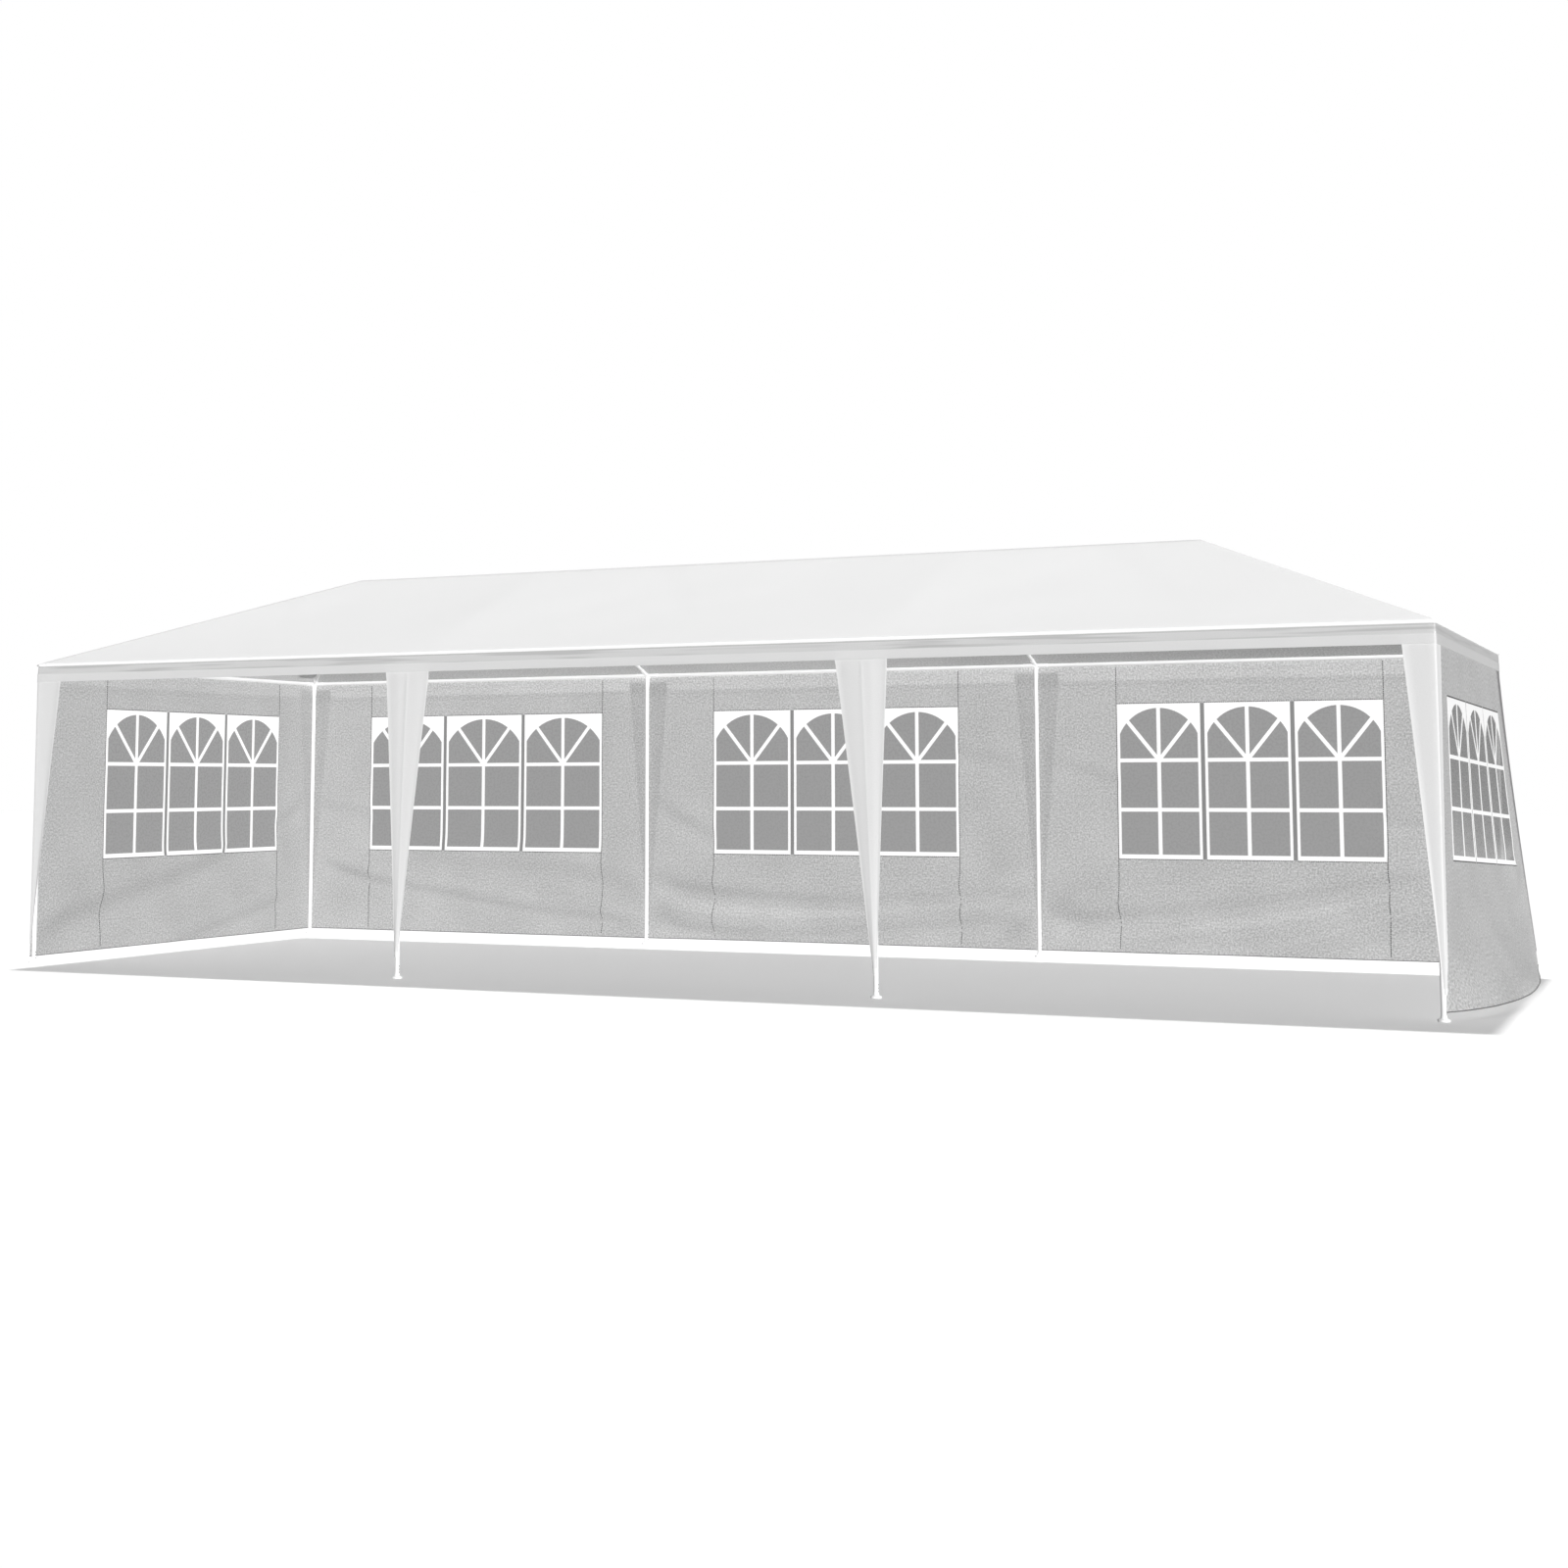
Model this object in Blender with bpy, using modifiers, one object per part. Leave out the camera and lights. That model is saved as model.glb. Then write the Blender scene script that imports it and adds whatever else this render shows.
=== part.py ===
"""A white marquee tent, 3 metres deep and 9 metres long, open along its front.

Units are metres and +Z is up. X runs along the tent, and -Y is its open front. The origin is
on the ground, in the middle of the box round the whole tent. The right end wall blows out, so
the frame's own middle lies at MIDDLE_X, a little to the left of the origin.
"""

import math

import bmesh
import bpy
from mathutils import Vector

# Frame, measured between the centre lines of its tubes
BAY = 2.975
BAYS = 3
DEPTH = 2.975
RAIL_HEIGHT = 1.955
RIDGE_HEIGHT = 2.573
SECOND_FRONT_LEG_SHIFT = -0.13

# Tubes and the sleeved joints that hold them
LEG_RADIUS = 0.014
RAIL_RADIUS = 0.0125
LEG_SLEEVE_RADIUS = 0.0155
RAIL_SLEEVE_RADIUS = 0.014
HUB_RADIUS = 0.016
SLEEVE_REACH = 0.085
FOOT_RADIUS = 0.031
FOOT_THICKNESS = 0.003
FOOT_COLLAR_RADIUS = 0.019
FOOT_COLLAR_HEIGHT = 0.012
TUBE_SIDES = 20
HUB_RINGS = 12
SMOOTH_BELOW_DEGREES = 40
STRAIGHT_DOWN = -0.9

# Cover
CLOTH = 0.003
COVER_CLEARANCE = HUB_RADIUS + 0.0003
VALANCE_CLEARANCE = 0.0225
VALANCE_FOOT = 1.845
DRAPE_FOOT = 0.13
DRAPE_TOP_HALF_WIDTH = 0.155
DRAPE_FOOT_HALF_WIDTH = 0.012
FRONT_DRAPE_TOP_SHIFTS = (0.056, -0.070)
CORNER_DRAPE_TOP_WIDTH = 0.165
FRONT_LEFT_DRAPE_TOP_WIDTH = 0.200
CORNER_DRAPE_FOOT_WIDTH = 0.015

# Side walls and their windows
WALL_FOOT = 0.045
WINDOW_FOOT = 0.662
WINDOW_HEAD = 1.684
WINDOWS_IN_WALL = 3
WINDOW_GAP = 0.028
FRAME_SIDE = 0.018
FRAME_FOOT = 0.028
FRAME_HEAD = 0.026
ARCH_RISE = 0.170
ARCH_STEPS = 10
FILM = 0.0008
FILM_MARGIN = 0.012
BACK_WINDOW_GROUPS = ((0.077, 2.047), (-0.015, 1.868), (-0.066, 1.732))
LEFT_WINDOW_GROUP = (0.115, 1.909)
RIGHT_WINDOW_GROUP = (0.041, 2.315)
RIGHT_WINDOW_FEET = (0.771, 0.664)
RIGHT_WINDOW_HEADS = (1.596, 1.578)

# The right end wall leans out below the valance, most at its rear edge, and its foot flares out
LEAN_REACH = 0.173
LEAN_SPREAD = 1.26
LEAN_CURVE = 1.19
FLARE_REACH = 0.243
FLARE_EARLY = 0.68
FLARE_FULL = 1.05
FLARE_CURVE = 8
BLOWN_COLUMNS = 8
BLOWN_ROWS = 8

# Clearance between neighbours, and how near points are welded
GAP = 0.0003
WELD = 0.00001
TURNED_WELD = 0.00005

HALF_LENGTH = BAYS * BAY / 2
HALF_DEPTH = DEPTH / 2
RIDGE_HALF = HALF_LENGTH - HALF_DEPTH
ROOF_PITCH = math.atan2(RIDGE_HEIGHT - RAIL_HEIGHT, HALF_DEPTH)
VALANCE_OUT = VALANCE_CLEARANCE + CLOTH
WALL_OUT = COVER_CLEARANCE + CLOTH


def blown_knot(column, row):
    """How far the right end's cloth stands out at one knot of the grid that shapes it."""
    along, down = column / BLOWN_COLUMNS, row / BLOWN_ROWS
    lean = LEAN_REACH * along**LEAN_SPREAD * down**LEAN_CURVE
    if column in (0, BLOWN_COLUMNS):
        return lean
    across = math.sin(math.pi * along**FLARE_EARLY) ** FLARE_FULL
    return lean + FLARE_REACH * across * down**FLARE_CURVE


BLOWN_PEAK = max(blown_knot(i, BLOWN_ROWS) for i in range(BLOWN_COLUMNS + 1))
MIDDLE_X = (FOOT_RADIUS - WALL_OUT - BLOWN_PEAK) / 2
LEG_X = [MIDDLE_X - HALF_LENGTH + BAY * i for i in range(BAYS + 1)]
FRONT_LEG_X = [x + (SECOND_FRONT_LEG_SHIFT if i == 1 else 0) for i, x in enumerate(LEG_X)]


def empty_scene():
    for thing in list(bpy.data.objects):
        bpy.data.objects.remove(thing, do_unlink=True)


def new_collection(name):
    collection = bpy.data.collections.new(name)
    bpy.context.scene.collection.children.link(collection)
    return collection


def new_material(name, colour, roughness, metallic=0.0, alpha=1.0):
    material = bpy.data.materials.new(name)
    material.use_nodes = True
    shader = material.node_tree.nodes["Principled BSDF"]
    shader.inputs["Base Color"].default_value = (*colour, 1.0)
    shader.inputs["Roughness"].default_value = roughness
    shader.inputs["Metallic"].default_value = metallic
    shader.inputs["Alpha"].default_value = alpha
    return material


def adopt(thing, name, collection, material=None):
    """Names an object, moves it to its collection and gives it its material."""
    thing.name = name
    for other in list(thing.users_collection):
        other.objects.unlink(thing)
    collection.objects.link(thing)
    if material:
        thing.data.materials.clear()
        thing.data.materials.append(material)
    return thing


def tube(name, start, end, radius, collection, material=None):
    """A straight round tube with closed ends, from one point to another."""
    start, end = Vector(start), Vector(end)
    along = end - start
    bpy.ops.mesh.primitive_cylinder_add(
        vertices=TUBE_SIDES,
        radius=radius,
        depth=along.length,
        location=(start + end) / 2,
        rotation=along.to_track_quat("Z", "Y").to_euler(),
    )
    thing = adopt(bpy.context.object, name, collection, material)
    thing.data.shade_smooth()
    thing.data.set_sharp_from_angle(angle=math.radians(SMOOTH_BELOW_DEGREES))
    return thing


def unite(thing, others, cutters):
    """Joins other solids to this one, which keeps them as helpers."""
    for other in others:
        adopt(other, other.name, cutters)
        other.hide_render = True
        other.display_type = "WIRE"
        joining = thing.modifiers.new("join", "BOOLEAN")
        joining.operation = "UNION"
        joining.object = other


def eave_point(leg_x, side):
    """Where the leg, the rails and the rafter meet; side is -1 in front and 1 behind."""
    return Vector((leg_x, side * HALF_DEPTH, RAIL_HEIGHT))


def ridge_point(column):
    """The point of the ridge that the rafter of a column of legs runs to."""
    x = min(max(LEG_X[column], MIDDLE_X - RIDGE_HALF), MIDDLE_X + RIDGE_HALF)
    return Vector((x, 0, RIDGE_HEIGHT))


def between(start, end):
    """The stretch of tube left between the sleeves of two joints."""
    along = (end - start).normalized()
    return start + along * (SLEEVE_REACH + GAP), end - along * (SLEEVE_REACH + GAP)


def make_leg(name, leg_x, side, parts, material):
    """A leg turned with its round foot plate and the small collar on it."""
    top = RAIL_HEIGHT - SLEEVE_REACH - GAP
    profile = (
        (0.0, top),
        (LEG_RADIUS, top),
        (LEG_RADIUS, FOOT_COLLAR_HEIGHT),
        (FOOT_COLLAR_RADIUS, FOOT_THICKNESS),
        (FOOT_RADIUS, FOOT_THICKNESS),
        (FOOT_RADIUS, 0.0),
        (0.0, 0.0),
    )
    mesh = bpy.data.meshes.new(name)
    points = [(radius, 0.0, height) for radius, height in profile]
    mesh.from_pydata(points, [(i, i + 1) for i in range(len(points) - 1)], [])
    leg = bpy.data.objects.new(name, mesh)
    leg.location = (leg_x, side * HALF_DEPTH, 0.0)
    turn = leg.modifiers.new("turn", "SCREW")
    turn.steps = TUBE_SIDES
    turn.render_steps = TUBE_SIDES
    turn.use_merge_vertices = True
    turn.merge_threshold = TURNED_WELD
    return adopt(leg, name, parts, material)


def hub_and_sleeves(name, centre, targets, collection):
    """A ball-shaped hub with a sleeve pointing at each target; the one straight down is wider."""
    bpy.ops.mesh.primitive_uv_sphere_add(
        segments=2 * HUB_RINGS, ring_count=HUB_RINGS, radius=HUB_RADIUS, location=centre
    )
    hub = adopt(bpy.context.object, name, collection)
    sleeves = []
    for i, target in enumerate(targets):
        along = (Vector(target) - centre).normalized()
        radius = LEG_SLEEVE_RADIUS if along.z < STRAIGHT_DOWN else RAIL_SLEEVE_RADIUS
        end = centre + along * SLEEVE_REACH
        sleeves.append(tube(f"{name}_sleeve_{i + 1}", centre, end, radius, collection))
    return hub, sleeves


def make_joint(name, centre, targets, parts, cutters, material):
    hub, sleeves = hub_and_sleeves(name, centre, targets, cutters)
    adopt(hub, name, parts, material)
    unite(hub, sleeves, cutters)


def make_frame(parts, cutters, steel, coated):
    rows = (("front", -1, FRONT_LEG_X), ("back", 1, LEG_X))
    last = BAYS
    for word, side, leg_x in rows:
        eaves = [eave_point(x, side) for x in leg_x]
        for i, eave in enumerate(eaves):
            make_leg(f"leg_{word}_{i + 1}", eave.x, side, parts, steel)
            targets = [eave - Vector((0, 0, 1)), ridge_point(i)]
            if i > 0:
                targets.append(eaves[i - 1])
            if i < last:
                targets.append(eaves[i + 1])
            if i in (0, last):
                targets.append(eave_point(eave.x, -side))
            make_joint(f"eave_joint_{word}_{i + 1}", eave, targets, parts, cutters, coated)
            kind = "hip_rafter" if i in (0, last) else "rafter"
            start, end = between(eave, ridge_point(i))
            tube(f"{kind}_{word}_{i + 1}", start, end, RAIL_RADIUS, parts, steel)
        for i in range(BAYS):
            start, end = between(eaves[i], eaves[i + 1])
            tube(f"rail_{word}_{i + 1}", start, end, RAIL_RADIUS, parts, steel)
    for word, column in (("left", 0), ("right", last)):
        start, end = between(eave_point(LEG_X[column], -1), eave_point(LEG_X[column], 1))
        tube(f"rail_{word}", start, end, RAIL_RADIUS, parts, steel)


def make_ridge(parts, cutters, steel, coated):
    """The ridge pole, a length for each bay, and the connectors that take the rafters.

    The connectors at the two ends are fixed on the end lengths, and are one piece with them.
    """
    tops = [ridge_point(i) for i in range(BAYS + 1)]
    poles = []
    for i in range(BAYS):
        start, end = between(tops[i], tops[i + 1])
        if i == 0:
            start = tops[0]
        if i == BAYS - 1:
            end = tops[BAYS]
        poles.append(tube(f"ridge_pole_{i + 1}", start, end, RAIL_RADIUS, parts, steel))
    for i, top in enumerate(tops):
        targets = [eave_point(FRONT_LEG_X[i], -1), eave_point(LEG_X[i], 1)]
        targets += [tops[near] for near in (i - 1, i + 1) if 0 <= near <= BAYS]
        if i in (0, BAYS):
            hub, sleeves = hub_and_sleeves(f"ridge_end_{i + 1}", top, targets, cutters)
            unite(poles[0] if i == 0 else poles[-1], [hub] + sleeves, cutters)
        else:
            make_joint(f"ridge_joint_{i + 1}", top, targets, parts, cutters, coated)


def flat_sheet(name, loops, thickness):
    """A mesh of a flat outline with holes in the XY plane, thickened evenly both ways."""
    curve = bpy.data.curves.new(name, "CURVE")
    curve.dimensions = "2D"
    curve.fill_mode = "BOTH"
    curve.extrude = thickness / 2
    for loop in loops:
        spline = curve.splines.new("POLY")
        spline.points.add(len(loop) - 1)
        for point, (x, y) in zip(spline.points, loop):
            point.co = (x, y, 0.0, 1.0)
        spline.use_cyclic_u = True
    guide = bpy.data.objects.new(f"{name}_outline", curve)
    bpy.context.scene.collection.objects.link(guide)
    seen = guide.evaluated_get(bpy.context.evaluated_depsgraph_get())
    mesh = bpy.data.meshes.new_from_object(seen)
    bpy.data.objects.remove(guide, do_unlink=True)
    welded = bmesh.new()
    welded.from_mesh(mesh)
    bmesh.ops.remove_doubles(welded, verts=welded.verts, dist=WELD)
    bmesh.ops.recalc_face_normals(welded, faces=welded.faces)
    welded.to_mesh(mesh)
    welded.free()
    mesh.name = name
    return mesh


def stand(mesh, name, x, y, along_y, parts, material):
    """Stands a flat sheet up, so that its own x runs along the tent, or across it."""
    sheet = bpy.data.objects.new(name, mesh)
    sheet.location = (x, y, 0.0)
    sheet.rotation_euler = (math.pi / 2, 0.0, math.pi / 2 if along_y else 0.0)
    return adopt(sheet, name, parts, material)


def blown_at(y, z):
    """How far the right end's cloth stands out at this point, flat between the grid's knots."""
    column = min(max((y + HALF_DEPTH) / DEPTH, 0.0), 1.0) * BLOWN_COLUMNS
    row = min(max((VALANCE_FOOT - z) / (VALANCE_FOOT - WALL_FOOT), 0.0), 1.0) * BLOWN_ROWS
    i, j = min(int(column), BLOWN_COLUMNS - 1), min(int(row), BLOWN_ROWS - 1)
    across, down = column - i, row - j
    next_column, next_row = blown_knot(i + 1, j), blown_knot(i, j + 1)
    if across + down <= 1:
        first = blown_knot(i, j)
        return first + across * (next_column - first) + down * (next_row - first)
    last = blown_knot(i + 1, j + 1)
    return last + (1 - across) * (next_row - last) + (1 - down) * (next_column - last)


def blown_cuts():
    """The straight lines of the grid and its diagonals: a point and a direction across each."""
    column, row = DEPTH / BLOWN_COLUMNS, (VALANCE_FOOT - WALL_FOOT) / BLOWN_ROWS
    cuts = [(-HALF_DEPTH + column * i, VALANCE_FOOT, 1.0, 0.0) for i in range(BLOWN_COLUMNS + 1)]
    cuts += [(0.0, VALANCE_FOOT - row * j, 0.0, 1.0) for j in range(BLOWN_ROWS + 1)]
    for k in range(1, BLOWN_COLUMNS + BLOWN_ROWS):
        cuts.append((-HALF_DEPTH + column * k, VALANCE_FOOT, 1 / column, -1 / row))
    return cuts


def blow_out(mesh):
    """Blows a sheet out whose own x is the tent's y and whose own y is its height."""
    work = bmesh.new()
    work.from_mesh(mesh)
    for x, y, across_x, across_y in blown_cuts():
        everything = work.verts[:] + work.edges[:] + work.faces[:]
        bmesh.ops.bisect_plane(
            work,
            geom=everything,
            dist=WELD,
            plane_co=(x, y, 0.0),
            plane_no=Vector((across_x, across_y, 0.0)).normalized(),
        )
    for vertex in work.verts:
        vertex.co.z += blown_at(vertex.co.x, vertex.co.y)
    work.to_mesh(mesh)
    work.free()


def leaning_edge(right, foot, head):
    """The right edge of a sheet behind the tent, from its foot up: it leans as the end wall does."""
    rows = [VALANCE_FOOT - (VALANCE_FOOT - WALL_FOOT) * j / BLOWN_ROWS for j in range(BLOWN_ROWS)]
    heights = [foot] + sorted(z for z in rows if foot < z < head) + [head]
    return [(right + blown_at(HALF_DEPTH, z), z) for z in heights]


def window_light(left, right):
    """Outline of one window's clear part, with its low arched head."""
    foot, head = WINDOW_FOOT + FRAME_FOOT, WINDOW_HEAD - FRAME_HEAD
    left, right = left + FRAME_SIDE, right - FRAME_SIDE
    half = (right - left) / 2
    radius = (half * half + ARCH_RISE * ARCH_RISE) / (2 * ARCH_RISE)
    middle = Vector(((left + right) / 2, head - radius))
    reach = math.asin(half / radius)
    outline = [(left, foot), (right, foot)]
    for i in range(ARCH_STEPS + 1):
        angle = reach * (1 - 2 * i / ARCH_STEPS)
        outline.append((middle.x + radius * math.sin(angle), middle.y + radius * math.cos(angle)))
    return outline


def window_lights(group):
    centre, width = group
    one = (width - WINDOW_GAP * (WINDOWS_IN_WALL - 1)) / WINDOWS_IN_WALL
    first = centre - width / 2
    lefts = [first + i * (one + WINDOW_GAP) for i in range(WINDOWS_IN_WALL)]
    return [window_light(left, left + one) for left in lefts]


def hung_askew(outline, group, feet, heads):
    """Moves an outline from the usual window heights to a group whose foot and head slope."""
    centre, width = group
    moved = []
    for x, y in outline:
        along = (x - centre) / width + 0.5
        up = (y - WINDOW_FOOT) / (WINDOW_HEAD - WINDOW_FOOT)
        foot = feet[0] + (feet[1] - feet[0]) * along
        head = heads[0] + (heads[1] - heads[0]) * along
        moved.append((x, foot + (head - foot) * up))
    return moved


def wall_outline(left, right, leans=False):
    edge = [(right, WALL_FOOT), (right, RAIL_HEIGHT)]
    if leans:
        edge = leaning_edge(right, WALL_FOOT, RAIL_HEIGHT)
    return [(left, RAIL_HEIGHT), (left, WALL_FOOT)] + edge


def film_outline(group):
    centre, width = group
    low, high = WINDOW_FOOT - FILM_MARGIN, WINDOW_HEAD + FILM_MARGIN
    left, right = centre - width / 2 - FILM_MARGIN, centre + width / 2 + FILM_MARGIN
    return [(left, low), (right, low), (right, high), (left, high)]


def make_walls(parts, cloth, film):
    middle = COVER_CLEARANCE + CLOTH / 2
    film_middle = WALL_OUT + GAP + FILM / 2
    y = HALF_DEPTH + middle
    film_y = HALF_DEPTH + film_middle
    for i in range(BAYS):
        centre = (LEG_X[i] + LEG_X[i + 1]) / 2
        left = -BAY / 2 - (WALL_OUT if i == 0 else -GAP / 2)
        right = BAY / 2 + (WALL_OUT if i == BAYS - 1 else -GAP / 2)
        group = BACK_WINDOW_GROUPS[i]
        loops = [wall_outline(left, right, i == BAYS - 1)] + window_lights(group)
        name = f"wall_back_{i + 1}"
        stand(flat_sheet(name, loops, CLOTH), name, centre, y, False, parts, cloth)
        name = f"window_film_back_{i + 1}"
        sheet = flat_sheet(name, [film_outline(group)], FILM)
        stand(sheet, name, centre, film_y, False, parts, film)
    front, rear = -HALF_DEPTH - WALL_OUT, HALF_DEPTH + COVER_CLEARANCE - GAP
    ends = (
        ("left", -1, LEG_X[0], LEFT_WINDOW_GROUP),
        ("right", 1, LEG_X[-1], RIGHT_WINDOW_GROUP),
    )
    for word, side, leg_x, group in ends:
        lights, cover = window_lights(group), film_outline(group)
        if side > 0:
            askew = (group, RIGHT_WINDOW_FEET, RIGHT_WINDOW_HEADS)
            lights = [hung_askew(light, *askew) for light in lights]
            cover = hung_askew(cover, *askew)
        wall = flat_sheet(f"wall_{word}", [wall_outline(front, rear)] + lights, CLOTH)
        pane = flat_sheet(f"window_film_{word}", [cover], FILM)
        if side > 0:
            blow_out(wall)
            blow_out(pane)
        stand(wall, f"wall_{word}", leg_x + side * middle, 0.0, True, parts, cloth)
        pane_x = leg_x + side * film_middle
        stand(pane, f"window_film_{word}", pane_x, 0.0, True, parts, film)


def valance_top():
    """The valance stops just under the roof cloth, which lies over its edge."""
    return roof_underside(HALF_DEPTH + VALANCE_OUT) - GAP


def roof_underside(out):
    """Height of the roof cloth's lower face at this distance out from the ridge line."""
    return RIDGE_HEIGHT + COVER_CLEARANCE / math.cos(ROOF_PITCH) - math.tan(ROOF_PITCH) * out


def drape_outlines(left, right, places, inset, head, first_wide, leans=False):
    """The tapered drapes over the legs of one side, each from its top left corner on down.

    places holds the foot and the head of each drape between the two ends. inset is what a sheet
    that fits between two others is shorter by, so that its corner drapes are narrower by as much.
    first_wide is the head width of the drape at the left end, and the one at the right end can
    lean out as the end wall does.
    """
    wide, narrow = CORNER_DRAPE_TOP_WIDTH - inset, CORNER_DRAPE_FOOT_WIDTH - inset
    drapes = [(
        (left, head),
        (left, DRAPE_FOOT),
        (left + narrow, DRAPE_FOOT),
        (left + first_wide - inset, head),
    )]
    for foot_place, head_place in places:
        drapes.append((
            (head_place - DRAPE_TOP_HALF_WIDTH, head),
            (foot_place - DRAPE_FOOT_HALF_WIDTH, DRAPE_FOOT),
            (foot_place + DRAPE_FOOT_HALF_WIDTH, DRAPE_FOOT),
            (head_place + DRAPE_TOP_HALF_WIDTH, head),
        ))
    edge = [(right, DRAPE_FOOT), (right, head)]
    if leans:
        edge = leaning_edge(right, DRAPE_FOOT, head)
    drapes.append([(right - wide, head), (edge[0][0] - narrow, DRAPE_FOOT)] + edge)
    return drapes


def valance_outline(left, right, places, inset, first_wide):
    """A valance strip in one piece with the drapes that hang from it."""
    top = valance_top()
    outline = [(left, top)]
    for drape in drape_outlines(left, right, places, inset, VALANCE_FOOT, first_wide):
        outline += drape
    outline.append((right, top))
    ends = ((left, VALANCE_FOOT), (right, VALANCE_FOOT))
    return [point for point in outline if point not in ends]


def make_long_valances(parts, cloth):
    """The front drapes are one piece with their valance; the back ones hang under theirs."""
    y = HALF_DEPTH + VALANCE_CLEARANCE + CLOTH / 2
    half = HALF_LENGTH + VALANCE_OUT
    feet = [x - MIDDLE_X for x in FRONT_LEG_X[1:-1]]
    places = [(foot, foot + shift) for foot, shift in zip(feet, FRONT_DRAPE_TOP_SHIFTS)]
    outline = valance_outline(-half, half, places, 0.0, FRONT_LEFT_DRAPE_TOP_WIDTH)
    mesh = flat_sheet("valance_front", [outline], CLOTH)
    stand(mesh, "valance_front", MIDDLE_X, -y, False, parts, cloth)
    top = valance_top()
    strip = [(-half, top), (-half, VALANCE_FOOT), (half, VALANCE_FOOT), (half, top)]
    mesh = flat_sheet("valance_back", [strip], CLOTH)
    stand(mesh, "valance_back", MIDDLE_X, y, False, parts, cloth)
    places = [(x - MIDDLE_X, x - MIDDLE_X) for x in LEG_X[1:-1]]
    head, wide = VALANCE_FOOT - GAP, CORNER_DRAPE_TOP_WIDTH
    drapes = drape_outlines(-half, half, places, 0.0, head, wide, leans=True)
    for i, outline in enumerate(drapes):
        name = f"drape_back_{i + 1}"
        stand(flat_sheet(name, [outline], CLOTH), name, MIDDLE_X, y, False, parts, cloth)


def make_end_valances(parts, cloth):
    middle = VALANCE_CLEARANCE + CLOTH / 2
    half = HALF_DEPTH + VALANCE_CLEARANCE - GAP
    for word, side, leg_x in (("left", -1, LEG_X[0]), ("right", 1, LEG_X[-1])):
        name = f"valance_{word}"
        outline = valance_outline(-half, half, [], CLOTH + GAP, CORNER_DRAPE_TOP_WIDTH)
        mesh = flat_sheet(name, [outline], CLOTH)
        if side > 0:
            blow_out(mesh)
        stand(mesh, name, leg_x + side * middle, 0.0, True, parts, cloth)


def make_roof(parts, cloth):
    """Four flat slopes, cut in plan and then tilted, that meet along the hips and the ridge."""
    out_x, out_y = HALF_LENGTH + VALANCE_OUT, HALF_DEPTH + VALANCE_OUT
    height = CLOTH / math.cos(ROOF_PITCH)
    lift = roof_underside(0.0) + height / 2
    long_side = [
        (-out_x + GAP, -out_y),
        (out_x - GAP, -out_y),
        (RIDGE_HALF - GAP / 2, -GAP / 2),
        (-RIDGE_HALF + GAP / 2, -GAP / 2),
    ]
    short_side = [(-out_x, out_y - GAP), (-out_x, -out_y + GAP), (-RIDGE_HALF - GAP, 0.0)]
    slopes = (
        ("roof_front", long_side, 0.0),
        ("roof_back", long_side, math.pi),
        ("roof_left", short_side, 0.0),
        ("roof_right", short_side, math.pi),
    )
    for name, outline, turn in slopes:
        mesh = flat_sheet(name, [outline], height)
        for vertex in mesh.vertices:
            out = -vertex.co.y if outline is long_side else -vertex.co.x - RIDGE_HALF
            vertex.co.z += lift - math.tan(ROOF_PITCH) * out
        slope = bpy.data.objects.new(name, mesh)
        slope.location = (MIDDLE_X, 0.0, 0.0)
        slope.rotation_euler = (0.0, 0.0, turn)
        adopt(slope, name, parts, cloth)


def make_tent():
    empty_scene()
    parts = new_collection("marquee_tent")
    cutters = new_collection("joined_helpers")
    steel = new_material("white_tube", (0.88, 0.88, 0.88), 0.35)
    coated = new_material("white_joint", (0.90, 0.90, 0.90), 0.45)
    roof_cloth = new_material("roof_cloth", (0.88, 0.88, 0.88), 0.75)
    wall_cloth = new_material("wall_cloth", (0.72, 0.72, 0.72), 0.80)
    film = new_material("window_film", (0.55, 0.55, 0.56), 0.25, alpha=0.5)
    make_frame(parts, cutters, steel, coated)
    make_ridge(parts, cutters, steel, coated)
    make_walls(parts, wall_cloth, film)
    make_long_valances(parts, roof_cloth)
    make_end_valances(parts, roof_cloth)
    make_roof(parts, roof_cloth)


make_tent()
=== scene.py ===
"""The looks of the white marquee tent: its cover, walls, windows, small fittings and studio.

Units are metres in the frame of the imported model: +X runs along the tent, -Y is its open front
and +Z is up. The values named after the part's frame repeat those of the part's own source.
"""

import math

import bmesh
import bpy
from mathutils import Matrix, Vector, noise


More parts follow.
